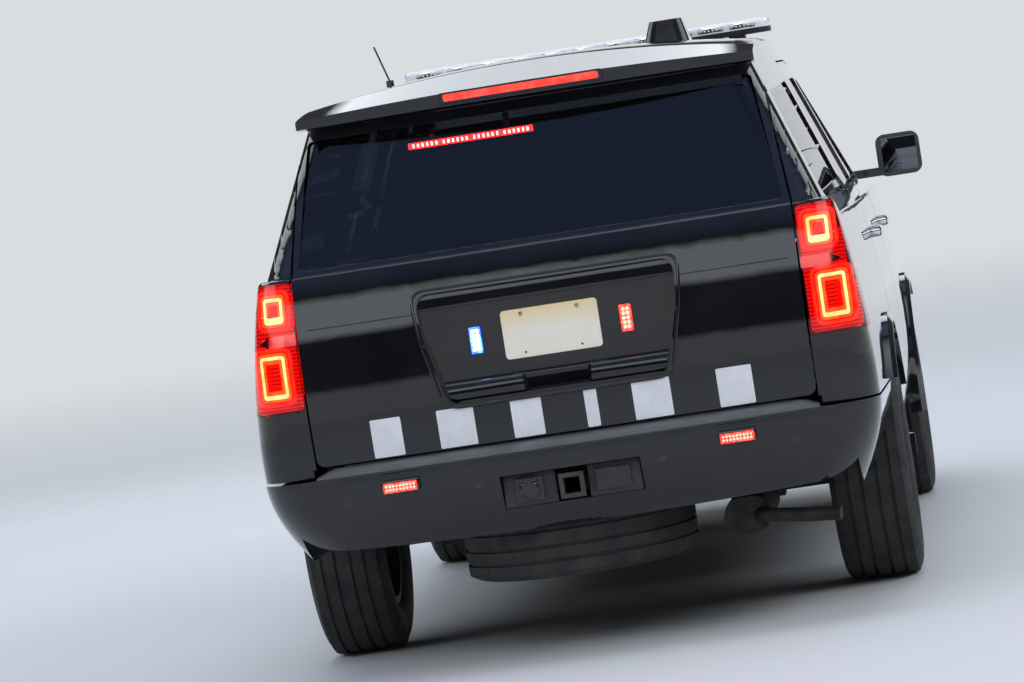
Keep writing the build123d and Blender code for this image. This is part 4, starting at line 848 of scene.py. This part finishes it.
plate_screws()
plate_rim()
warning_module("blue_module", MODULE_Y, blue_window, led_blue)
warning_module("red_module", -MODULE_Y, red_window, led_red)
inlay("stop_lamp_window", [rounded(-0.248, 0.248, 1.7745, 1.7965, 0.007)], "rear",
      search_tree("liftgate_lamps"), 0.0008, 0.0006, stop_red, "liftgate", 0.02)
stop_rim = spaced(rounded(-0.262, 0.262, 1.7665, 1.8010, 0.010), 0.02)
tube("stop_lamp_rim", on_surface(stop_rim, "rear", search_tree("roof_spoiler"), 0.0005), 0.0018, seal_rubber,
     "liftgate", closed=True)
window_bar()

# Sections in the recess, from the wall outwards. The grip ledge along its bottom is
# whole at its ends and cut back for the fingers between. Columns: x, height
LEDGE_WHOLE = [(RECESS_WALL, 0.846), (-2.512, 0.846), (-2.522, 0.852), (-2.5245, 0.864), (-2.522, 0.884),
               (-2.514, 0.900), (-2.502, 0.909), (RECESS_WALL, 0.911)]
LEDGE_CUT = [(RECESS_WALL, 0.846), (-2.490, 0.846), (-2.492, 0.852), (-2.495, 0.864), (-2.510, 0.884),
             (-2.514, 0.900), (-2.502, 0.909), (RECESS_WALL, 0.911)]
BROW = [(RECESS_WALL, 1.1885), (-2.4905, 1.1885), (-2.5045, 1.1440), (-2.5035, 1.1395), (-2.4990, 1.1375),
        (RECESS_WALL, 1.1375)]
# Columns: share of the half width, section
LEDGE_STATIONS = [(1.0, LEDGE_WHOLE), (0.31, LEDGE_WHOLE), (0.28, LEDGE_CUT), (-0.28, LEDGE_CUT),
                  (-0.31, LEDGE_WHOLE), (-1.0, LEDGE_WHOLE)]
BROW_STATIONS = [(share, BROW) for share in (1.0, 0.5, 0.0, -0.5, -1.0)]


def recess_band(name, stations, half, level, slope):
    """A band across the recess. half is its half width at a level, which grows upwards by slope."""
    mesh = bmesh.new()
    swept(mesh, [[Vector((x, share * (half + (z - level) * slope), z)) for x, z in section]
                 for share, section in stations])
    piece(name, mesh, paint, "liftgate")


recess_band("recess_ledge", LEDGE_STATIONS, 0.336, 0.846, 0.25)
recess_band("recess_brow", BROW_STATIONS, 0.4045, 1.1885, 0.08)

# The dark seam that crosses the liftgate at the recess, and the dark glass strips on
# the rear pillars beside the back window
pillar_tree = search_tree("body_side_left", "body_side_right", "liftgate")
for side, name in SIDES:
    strip = spaced(sided(PILLAR_GLASS, side), 0.03)
    inlay("gate_seam_" + name, [sided(SEAM, side)], "rear", gate_tree, SEAM_LIFT, SEAM_THICK, seal_rubber,
          "liftgate")
    inlay("pillar_glass_" + name, [strip], "rear", pillar_tree, 0.002, 0.0015, gloss_trim)

# Rear bumper
# Step pad's section behind the bumper's top edge. Columns: distance forward, height
PAD_SECTION = [(0.004, 0.6690), (0.008, 0.6800), (0.016, 0.6885), (0.034, 0.6945), (0.062, 0.6975),
               (0.100, 0.6980)]
PAD_FRONT = -2.468
PAD_FOOT = 0.669
PAD_HALF = 0.790
PAD_STATIONS = 80
PAD_FADE = 0.05
PAD_EDGE = 0.655
PAD_END_RISE = 0.25
RIBS_X = (-2.536, -2.524, -2.512)
BEAD_HALF = PAD_HALF * 1.02
BEAD_HEIGHT = 0.6635
BEAD_POINTS = 81
SENSOR = [(0.0125, -0.003), (0.0125, 0.0006), (0.0105, 0.0012), (0.010, 0.0006), (0.009, 0.0006), (0, 0.0012)]
SENSOR_HEIGHT = 0.585
BUMPER_LAMP_Y = 0.528
BUMPER_LAMP_Z = 0.616
SOCKET = [(0.030, 0), (0.030, 0.012), (0.026, 0.014), (0.026, 0.004), (0, 0.004)]


def step_pad():
    """The grained pad that fills the bumper's top up to the liftgate, with ribs across it."""
    mesh = bmesh.new()
    rows = []
    for i in range(PAD_STATIONS + 1):
        y = PAD_HALF * (2 * i / PAD_STATIONS - 1)
        edge = on_surface([(y, PAD_EDGE)], "rear", bumper_tree)[0].x
        rise = PAD_END_RISE + (1 - PAD_END_RISE) * min(1.0, (PAD_HALF - abs(y)) / PAD_FADE)
        points = [Vector((edge + dx, y, PAD_FOOT + (z - PAD_FOOT) * rise)) for dx, z in PAD_SECTION]
        rows.append(points + [Vector((PAD_FRONT, y, points[-1].z)), Vector((PAD_FRONT, y, PAD_FOOT))])
    swept(mesh, rows)
    piece("step_pad", mesh, step_plastic)
    ribs = [((x, -0.70, 0.6965), (x + 0.004, 0.70, 0.7000), 0.001, 1) for x in RIBS_X]
    boxes("step_ribs", ribs, step_rubber)


def bumper_lamp(side, name):
    """One flat warning lamp in the rear bumper: window, diodes and rim."""
    y, z = side * BUMPER_LAMP_Y, BUMPER_LAMP_Z
    window = slab((-2.6078, -2.6050), y, z, 0.052, 0.014, 0.002, 3)
    rim = slab((-2.6045, -2.580), y, z, 0.060, 0.022, 0.006)
    boxes("bumper_window_" + name, [window], red_window)
    diode_block("bumper_diodes_" + name, (-2.6076, y, z), (9, 2), (0.0108, 0.011), 0.0038, led_red)
    boxes("bumper_lamp_rim_" + name, [rim], gloss_trim)


def hitch_bay():
    """The trailer socket, blank cover and backing in the bumper's cut-out."""
    boxes("hitch_panels", [((-2.560, -0.216, 0.497), (-2.552, -0.050, 0.597), 0.003),
                           ((-2.560, 0.050, 0.497), (-2.552, 0.216, 0.597), 0.003),
                           ((-2.572, -0.185, 0.512), (-2.559, -0.070, 0.582), 0.006, 3),
                           ((-2.574, 0.088, 0.508), (-2.559, 0.180, 0.586), 0.006, 3)], trim)
    socket = bmesh.new()
    turned_mesh(socket, SOCKET, (-2.573, 0.134, 0.547), REARWARD, 32)
    box_mesh(socket, (-2.592, 0.108, 0.571), (-2.572, 0.160, 0.580), 0.002)
    piece("trailer_socket", socket, gloss_trim)


step_pad()
edge_line = [(BEAD_HALF * (2 * i / (BEAD_POINTS - 1) - 1), BEAD_HEIGHT) for i in range(BEAD_POINTS)]
tube("bumper_edge_bead", on_surface(edge_line, "rear", bumper_tree, -0.0030), 0.0060, paint)
for number, y in enumerate((0.70, 0.29, -0.29, -0.70)):
    spot = on_surface([(y, SENSOR_HEIGHT)], "rear", bumper_tree)[0]
    turned(f"parking_sensor_{number}", SENSOR, spot, REARWARD, 28, gloss_trim)
for side, name in SIDES:
    bumper_lamp(side, name)
hitch_bay()

# Sides. Door grips' columns: door, x and height of its middle
GRIPS = [("front_door", 0.140, 1.128), ("rear_door", -0.800, 1.122)]
GRIP_HALF = (0.106, 0.02525, 0.0175)
GRIP_Y = 0.98525
MIRROR_FACES = (0.798, 0.804)
MIRROR_Y = 1.0705
MIRROR_Z = 1.348

for door, x, z in GRIPS:
    for side, name in SIDES:
        grip = slab((x - GRIP_HALF[0], x + GRIP_HALF[0]), side * GRIP_Y, z, *GRIP_HALF[1:], 0.014, 4)
        boxes(f"{door}_grip_{name}", [grip], chrome, f"{door}_{name}")
for side, name in SIDES:
    boxes("mirror_pane_" + name, [slab(MIRROR_FACES, side * MIRROR_Y, MIRROR_Z, 0.0655, 0.064, 0.002)],
          mirror_glass, "front_door_" + name)
fuel_seam = [rounded(-2.055, -1.905, 1.020, 1.160, 0.022), rounded(-2.051, -1.909, 1.024, 1.156, 0.019)]

# Front lamps. Columns as in TAIL_LAMP_PARTS
HEADLAMP_PARTS = [
    ("reflector", [(0.585, 0.925, 0.788, 0.998, 0.02)], 0.027, 0.002, chrome, 0.03),
    ("strip", [(0.595, 0.905, 0.800, 0.814, 0.006)], 0.016, 0.006, led_white, 0.02),
    ("signal", [(0.868, 0.920, 0.830, 0.985, 0.012)], 0.018, 0.004, amber_signal, 0.02),
    ("mask", [(0.590, 0.860, 0.858, 0.990, 0.016), (0.618, 0.704, 0.882, 0.968, 0.042),
              (0.738, 0.824, 0.882, 0.968, 0.042)], 0.018, 0.003, gloss_trim, 0.02),
]
PROJECTOR = [(0.036, 0), (0.036, 0.004), (0.030, 0.010), (0.018, 0.014), (0, 0.016)]
PROJECTORS_Y = (0.661, 0.781)
PROJECTOR_Z = 0.925
FOG_BEZEL = [(0.062, -0.010), (0.062, 0.001), (0.056, 0.005), (0.047, 0.004), (0.044, -0.004), (0, -0.006)]
FOG_LENS = [(0.043, -0.003), (0.042, 0.001), (0.028, 0.004), (0, 0.006)]
FOG_PLACE = (0.700, 0.500)
headlamp_tree = search_tree("headlamps")
front_tree = search_tree("front_bumper")
screen_tree = search_tree("fixed_glass")


def front_lamps(side, name):
    """Headlamp parts with two projector lenses, and the round fog lamp below them."""
    lamp_parts("headlamp_", HEADLAMP_PARTS, name, "front", headlamp_tree)
    mesh = bmesh.new()
    for y in PROJECTORS_Y:
        spot = on_surface([(side * y, PROJECTOR_Z)], "front", headlamp_tree)[0] - Vector((0.024, 0, 0))
        turned_mesh(mesh, PROJECTOR, spot, FORWARD, 32)
    piece("headlamp_projectors_" + name, mesh, clear_lens)
    spot = on_surface([(side * FOG_PLACE[0], FOG_PLACE[1])], "front", front_tree)[0]
    turned("fog_bezel_" + name, FOG_BEZEL, spot, FORWARD, 40, gloss_trim)
    turned("fog_lens_" + name, FOG_LENS, spot, FORWARD, 40, fog_glass)


def wiper(number, pivot_y, tip_y):
    """One windscreen wiper: arm, blade and rubber, resting low on the glass."""
    count = 10
    route = [(pivot_y + (tip_y - pivot_y) * i / count, 1.292 + 0.012 * math.sin(math.pi * i / count))
             for i in range(count + 1)]
    rubber = on_surface(route, "front", screen_tree, 0.004)
    tube(f"wiper_rubber_{number}", rubber, 0.0032, seal_rubber)
    blade = [point + Vector((0.006, 0, 0.006)) for point in rubber]
    tube(f"wiper_blade_{number}", blade, 0.0048, trim)
    foot = rubber[0] + Vector((0.050, (pivot_y - tip_y) * 0.04, -0.040))
    arm = [foot, foot + Vector((0, 0, 0.018)), blade[2] + Vector((0.014, 0, 0.010)),
           blade[5] + Vector((0.006, 0, 0.004))]
    tube(f"wiper_arm_{number}", arm, 0.0058, trim)


for side, name in SIDES:
    front_lamps(side, name)
wiper(0, 0.640, 0.030)
wiper(1, 0.010, -0.600)
inlay("fuel_door_seam", fuel_seam, "left", search_tree("body_side_left"), SEAM_LIFT, SEAM_THICK, seal_rubber)

# Light bar: modules along both long faces. Column: middle y
BAR_MODULES = [-0.585 + 0.117 * i for i in range(11)]
BAR_DIODE = [(0.0042, 0), (0.0038, 0.0012), (0.002, 0.002), (0, 0.0022)]
BAR_LIFT = 0.0006


def bar_modules():
    """Windows with diode domes on the light bar's long faces, front and back."""
    tree = search_tree("light_bar")
    for view, out in (("rear", REARWARD), ("front", FORWARD)):
        spots = bmesh.new()
        for number, middle_y in enumerate(BAR_MODULES):
            window = rounded(middle_y - 0.047, middle_y + 0.047, 1.898, 1.918, 0.004, 3)
            inlay(f"bar_module_{view}_{number}", [window], view, tree, BAR_LIFT, 0.0005, chrome,
                  step=0.04)
            for k in range(6):
                spot = on_surface([(middle_y + (k - 2.5) * BAR_DIODE_PITCH, 1.908)], view, tree, BAR_LIFT)[0]
                turned_mesh(spots, BAR_DIODE, spot, out, 12)
        piece("bar_diode_domes_" + view, spots, clear_lens)


bar_modules()

# Seats. Foam pads' columns: name, middle x, y and z, length, width, thickness, lean and
# voxel, then look (also the slot), fill and the CAD node that it stands for
PADS = []
for y, side, seat in ((SEAT_Y, "_left", "front_seats"), (-SEAT_Y, "_right", None)):
    PADS += [
        ("seat_cushion" + side, 0.312, y, 0.812, 0.480, 0.480, 0.104, -5.3, 0.013, "seat_cloth", 0.75, seat),
        ("seat_back" + side, 0.010, y, 1.140, 0.094, 0.470, 0.550, -13.2, 0.013, "seat_cloth", 0.7, None),
        ("headrest" + side, -0.070, y, 1.552, 0.070, 0.240, 0.150, -6.0, 0.009, "seat_cloth", 0.85, None),
    ]
PADS += [
    ("bench_cushion", -0.680, 0.0, 0.858, 0.380, 1.180, 0.112, -5.5, 0.016, "seat_vinyl", 0.8, "rear_bench"),
    ("bench_back", -1.008, 0.0, 1.192, 0.088, 1.180, 0.575, -13.3, 0.016, "seat_vinyl", 0.75, None),
]
PAD_LOOKS = {"seat_cloth": seat_cloth, "seat_vinyl": seat_vinyl}
SWELL_CAP = 0.011
SIM_FRAMES = 20
SEAT_FLOOR = 0.5865
CHANNEL_WIDTH = 0.010
SEAM_DEPTH = 0.012
CROSS_DEPTH = 0.009
BENCH_WIDTH = 0.8
# Shares of a pad's size: seams, the bench's seams, cross channels, edge radius
SEAM_SHARE = 0.32
BENCH_SEAM_SHARE = 0.17
CROSS_SHARE = 0.18
ROUND_SHARE = 0.55


def bake(obj):
    """Apply all modifiers to the mesh."""
    graph = bpy.context.evaluated_depsgraph_get()
    data = bpy.data.meshes.new_from_object(obj.evaluated_get(graph))
    obj.modifiers.clear()
    obj.data = data


def pad_start(row):
    """A pad's tight starting form with the cloth solver on it, at its own place."""
    name, x, y, z, length, width, thick, lean, voxel = row[:9]
    mesh = bmesh.new()
    half = Vector((length, width, thick)) / 2
    box_mesh(mesh, -half, half, min(half) * ROUND_SHARE, 4)
    obj = add_object(name, mesh_data(name, mesh))
    obj.matrix_world = Matrix.Translation((x, y, z)) @ Matrix.Rotation(math.radians(lean), 4, "Y")
    remesh = obj.modifiers.new("remesh", "REMESH")
    remesh.mode = "VOXEL"
    remesh.voxel_size = voxel
    bake(obj)
    cloth = obj.modifiers.new("cloth", "CLOTH")
    cloth.settings.quality = 5
    cloth.settings.use_pressure = True
    cloth.settings.uniform_pressure_force = 4.0
    cloth.settings.effector_weights.gravity = 0.0
    cloth.settings.tension_stiffness = 15.0
    cloth.settings.compression_stiffness = 15.0
    cloth.settings.bending_stiffness = 0.5
    cloth.collision_settings.use_collision = False
    cloth.point_cache.frame_start = 1
    cloth.point_cache.frame_end = SIM_FRAMES
    return obj


def channel(offset, depth):
    """How deep a sewn channel is at some distance from its middle."""
    return depth * math.exp(-(offset / CHANNEL_WIDTH) ** 2)


def sew(obj, row):
    """Pull the pad in along its sewn channels, on the side that is sat on."""
    length, width, thick = row[4:7]
    flat = thick < length
    seam = width * (SEAM_SHARE if width < BENCH_WIDTH else BENCH_SEAM_SHARE)
    cross = CROSS_SHARE * (length if flat else thick)
    for vertex in obj.data.vertices:
        across = vertex.co.y
        along = vertex.co.x if flat else vertex.co.z
        depth = max(channel(across - seam, SEAM_DEPTH), channel(across + seam, SEAM_DEPTH))
        if abs(across) < SEAM_SHARE * width:
            depth = max(depth, channel(along - cross, CROSS_DEPTH), channel(along + cross, CROSS_DEPTH))
        if flat and vertex.co.z > 0:
            vertex.co.z -= depth
        elif not flat and vertex.co.x > 0:
            vertex.co.x -= depth


def make_pads():
    """Swell every pad in one run of the solver, hold each to its cap, and finish it."""
    made = [(row, pad_start(row)) for row in PADS]
    before = {obj.name: [v.co.copy() for v in obj.data.vertices] for _, obj in made}
    for step in range(1, SIM_FRAMES + 1):
        scene.frame_set(step)
    for _, obj in made:
        bake(obj)
        for vertex, start in zip(obj.data.vertices, before[obj.name]):
            shift = vertex.co - start
            if shift.length > SWELL_CAP:
                vertex.co = start + shift.normalized() * SWELL_CAP
    scene.frame_set(1)
    for row, obj in made:
        subdivide = obj.modifiers.new("subdivide", "SUBSURF")
        subdivide.levels = subdivide.render_levels = 1
        bake(obj)
        sew(obj, row)
        slot, fill, stands_for = row[9:12]
        obj.data.materials.clear()
        for face in obj.data.polygons:
            face.use_smooth = True
        dress(obj, PAD_LOOKS[slot], "chassis")
        if stands_for:
            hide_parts(stands_for)


def seat_frames():
    """Seat bases, side covers and headrest posts."""
    rows = []
    posts = bmesh.new()
    for y in (SEAT_Y, -SEAT_Y):
        rows.append(((0.090, y - 0.205, SEAT_FLOOR), (0.490, y + 0.205, 0.752), 0.012))
        for edge in (-0.248, 0.222):
            rows.append(((0.060, y + edge, 0.640), (0.500, y + edge + 0.026, 0.800), 0.010, 3))
        for shift in (-0.062, 0.062):
            turned_mesh(posts, [(0.006, 0), (0.006, 0.105)], (-0.060, y + shift, 1.395), (-0.06, 0, 1), 16)
    rows.append(((-0.868, -0.600, SEAT_FLOOR), (-0.480, 0.600, 0.798), 0.014, 3))
    boxes("seat_bases", rows, trim)
    piece("headrest_posts", posts, chrome)


make_pads()
seat_frames()

# Dashboard
DIAL = [(0.056, 0), (0.056, 0.006), (0.050, 0.008), (0.048, 0.003), (0, 0.003)]
DIAL_HEIGHT = 1.085
DIALS_Y = (0.475, 0.325)
VENTS_Y = (0.70, 0.165, -0.165, -0.70)
VENT_LEVELS = [1.060 + 0.011 * k for k in range(5)]


def instruments():
    """Dials, centre screen and air vents on the dashboard."""
    tree = search_tree("dashboard")
    for number, y in enumerate(DIALS_Y):
        spot = on_surface([(y, DIAL_HEIGHT)], "rear", tree)[0]
        turned(f"dial_{number}", DIAL, spot, REARWARD, 40, gloss_trim)
    screen = rounded(-0.100, 0.100, 1.010, 1.120, 0.008)
    inlay("centre_screen", [screen], "rear", tree, 0.004, 0.004, gloss_trim, step=0.05)
    for number, y in enumerate(VENTS_Y):
        rows = []
        for z in VENT_LEVELS:
            x = on_surface([(y, z)], "rear", tree)[0].x
            rows.append(((x - 0.005, y - 0.045, z), (x + 0.004, y + 0.045, z + 0.003), 0.001, 1))
        x = on_surface([(y, DIAL_HEIGHT)], "rear", tree)[0].x
        for edge in (-0.052, 0.046):
            rows.append(((x - 0.006, y + edge, 1.050), (x + 0.010, y + edge + 0.006, 1.118), 0.002))
        boxes(f"air_vent_{number}", rows, gloss_trim)


instruments()

# Engine
ENGINE_TOP = 0.950
ENGINE_X = 1.600
ROCKER_Y = 0.158
ENGINE_BOLT = [(0.011, 0), (0.011, 0.004), (0.0075, 0.005), (0.0075, 0.011), (0.005, 0.013)]
FILLER_CAP = [(0.026, 0), (0.026, 0.014), (0.023, 0.018), (0.009, 0.018), (0.009, 0.026), (0.0, 0.026)]


def engine_top():
    """The engine's ribbed plastic cover, its two rocker covers with their bolts, and the filler cap."""
    x, z = ENGINE_X, ENGINE_TOP
    cover = [((x - 0.220, -0.120, z), (x + 0.230, 0.120, z + 0.042), 0.016, 4)]
    for i in range(7):
        y = -0.078 + 0.026 * i
        cover.append(slab((x - 0.180, x + 0.150), y, z + 0.043, 0.005, 0.005, 0.003))
    boxes("engine_cover", cover, trim)
    rockers = []
    bolts = bmesh.new()
    for side in (1, -1):
        rockers.append(slab((x - 0.270, x + 0.270), side * ROCKER_Y, z + 0.013, 0.030, 0.013, 0.009, 3))
        for i in range(5):
            at = (x - 0.235 + 0.1175 * i, side * ROCKER_Y, z + 0.024)
            turned_mesh(bolts, ENGINE_BOLT, at, UPWARD, 6)
    boxes("rocker_covers", rockers, aluminium)
    turned_mesh(bolts, FILLER_CAP, (x + 0.185, 0.062, z + 0.040), UPWARD, 28)
    piece("engine_bolts", bolts, steel)


engine_top()

# Coil springs, with a flat share at each end
COIL_STEPS = 20
COIL_END = 0.05
# Columns: x, y, low and high end, coil radius, wire radius, turns
COILS = [
    (FRONT_AXLE_X, 0.610, 0.275, 0.630, 0.034, 0.0065, 6.5),
    (REAR_AXLE_X, 0.460, 0.436, 0.556, 0.050, 0.0078, 4.0),
]


def coil_points(x, y, low, high, radius, turns):
    """The centre line of a coil spring."""
    count = int(turns * COIL_STEPS)
    points = []
    for i in range(count + 1):
        a = 2 * math.pi * turns * i / count
        rise = max(0.0, min(1.0, (i / count - COIL_END) / (1 - 2 * COIL_END)))
        points.append((x + radius * math.cos(a), y + radius * math.sin(a), low + (high - low) * rise))
    return points


for row, (x, y, low, high, radius, wire, turns) in enumerate(COILS):
    for side, name in SIDES:
        points = coil_points(x, side * y, low, high, radius, turns)
        tube(f"coil_{row}_{name}", points, wire, spring_steel)
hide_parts("springs")

# Light, floor and camera


def area_light(name, place, target, size, power, colour=(1, 1, 1)):
    """A soft box aimed at a point, which shiny surfaces don't show."""
    data = bpy.data.lights.new(name, "AREA")
    data.shape = "RECTANGLE"
    data.size, data.size_y = size
    data.energy = power
    data.color = colour
    obj = add_object(name, data)
    obj.location = place
    direction = Vector(target) - Vector(place)
    obj.rotation_euler = direction.to_track_quat("-Z", "Y").to_euler()
    obj.visible_glossy = False
    obj.visible_camera = False


area_light("key", (-6.0, -6.5, 7.0), (-1.0, 0, 0.8), (5.0, 3.0), 190, (1.0, 0.97, 0.93))
area_light("fill", (-8.0, 6.5, 5.0), (-1.5, 0, 0.8), (5.0, 3.0), 70, (0.90, 0.95, 1.0))
area_light("overhead", (0.0, 0.0, 8.5), (0, 0, 0), (9.0, 6.0), 260)
area_light("front", (8.5, 3.5, 5.5), (1.0, 0, 0.8), (5.0, 3.0), 110)

FLOOR_TONE = (0.66, 0.67, 0.68)
FLOOR_RADIUS = 30.0
FLOOR_FADE = (5.0, 26.0)
SKY_TONE = (0.70, 0.72, 0.74)
DARK_TONE = (0.045, 0.045, 0.050)
BLUE_TONE = (0.20, 0.28, 0.52)
BAND_TONE = (0.88, 0.94, 1.0)
HIGH_TONE = (0.74, 0.86, 1.0)
WORLD_STRENGTH = 2.0
# The surround from the horizon to the zenith. Columns: sine of the elevation, tone
WORLD_STOPS = [
    (0.0, SKY_TONE), (0.075, SKY_TONE), (0.105, DARK_TONE), (0.37, DARK_TONE), (0.41, BAND_TONE),
    (0.60, BAND_TONE), (0.64, DARK_TONE), (0.76, BLUE_TONE), (0.87, BLUE_TONE), (0.91, DARK_TONE),
    (1.0, HIGH_TONE),
]


def pale_floor():
    """A plain floor that fades into the background far from the car."""
    mat, tree, shader = new_material("studio_floor")
    worn = tuple(0.97 * value for value in FLOOR_TONE)
    tone = blend(tree, remap(tree, noise(tree, 0.6, 3.0)), FLOOR_TONE, worn)
    tree.links.new(tone, shader.inputs["Base Color"])
    shader.inputs["Roughness"].default_value = 0.8
    shader.inputs["Specular IOR Level"].default_value = 0.2
    distance = tree.nodes.new("ShaderNodeVectorMath")
    distance.operation = "LENGTH"
    tree.links.new(position(tree), distance.inputs[0])
    share = remap(tree, distance.outputs["Value"], low=FLOOR_FADE[0], high=FLOOR_FADE[1])
    mix_shaders(tree, share, shader, tree.nodes.new("ShaderNodeBsdfTransparent"))
    mesh = bmesh.new()
    bmesh.ops.create_circle(mesh, cap_ends=True, radius=FLOOR_RADIUS, segments=96)
    floor = add_object("floor", mesh_data("floor", mesh))
    floor.data.materials.append(mat)


def studio_world():
    """A pale horizon, and above it a dark surround with a light band and a cool zenith."""
    world = bpy.data.worlds.new("studio")
    world.use_nodes = True
    scene.world = world
    tree = world.node_tree
    background = tree.nodes["Background"]
    split = tree.nodes.new("ShaderNodeSeparateXYZ")
    coords = tree.nodes.new("ShaderNodeTexCoord")
    tree.links.new(coords.outputs["Generated"], split.inputs[0])
    ramp = tree.nodes.new("ShaderNodeValToRGB")
    tree.links.new(split.outputs["Z"], ramp.inputs[0])
    while len(ramp.color_ramp.elements) < len(WORLD_STOPS):
        ramp.color_ramp.elements.new(0.5)
    for element, (at, colour) in zip(ramp.color_ramp.elements, WORLD_STOPS):
        element.position = at
        level = 1 if colour in (BAND_TONE, HIGH_TONE) else 1 / WORLD_STRENGTH
        element.color = (*(level * value for value in colour), 1)
    tree.links.new(ramp.outputs[0], background.inputs["Color"])
    background.inputs["Strength"].default_value = WORLD_STRENGTH


pale_floor()
studio_world()

# The photograph's camera, for a car that stands level
CAMERA_PLACE = Vector((-16.854, -1.450, 1.654))
CAMERA_TURN = Vector((0.0522, -0.1071, 0.1301))
BODY_LEAN = math.radians(-1.28)
LEAN_HEIGHT = 0.4
FOCAL_PIXELS = 4656.1
PHOTO_WIDTH = 1024
SENSOR_WIDTH = 36.0
FAR_CLIP = 200.0


def photo_camera():
    """The camera seen from the body, with the body's lean taken out."""
    base = Matrix(((0, -1, 0), (0, 0, 1), (-1, 0, 0)))
    turn = Matrix.Rotation(CAMERA_TURN.length, 3, CAMERA_TURN.normalized())
    lean = Matrix.Rotation(BODY_LEAN, 3, "X")
    pivot = Vector((0, 0, LEAN_HEIGHT))
    place = lean.inverted() @ (CAMERA_PLACE - pivot) + pivot
    axes = (turn @ base @ lean).transposed()
    data = bpy.data.cameras.new("photo_camera")
    data.lens = FOCAL_PIXELS * SENSOR_WIDTH / PHOTO_WIDTH
    data.sensor_width = SENSOR_WIDTH
    data.clip_end = FAR_CLIP
    obj = add_object("photo_camera", data)
    obj.matrix_world = Matrix.Translation(place) @ axes.to_4x4()
    scene.camera = obj


photo_camera()
scene.view_settings.view_transform = "Standard"
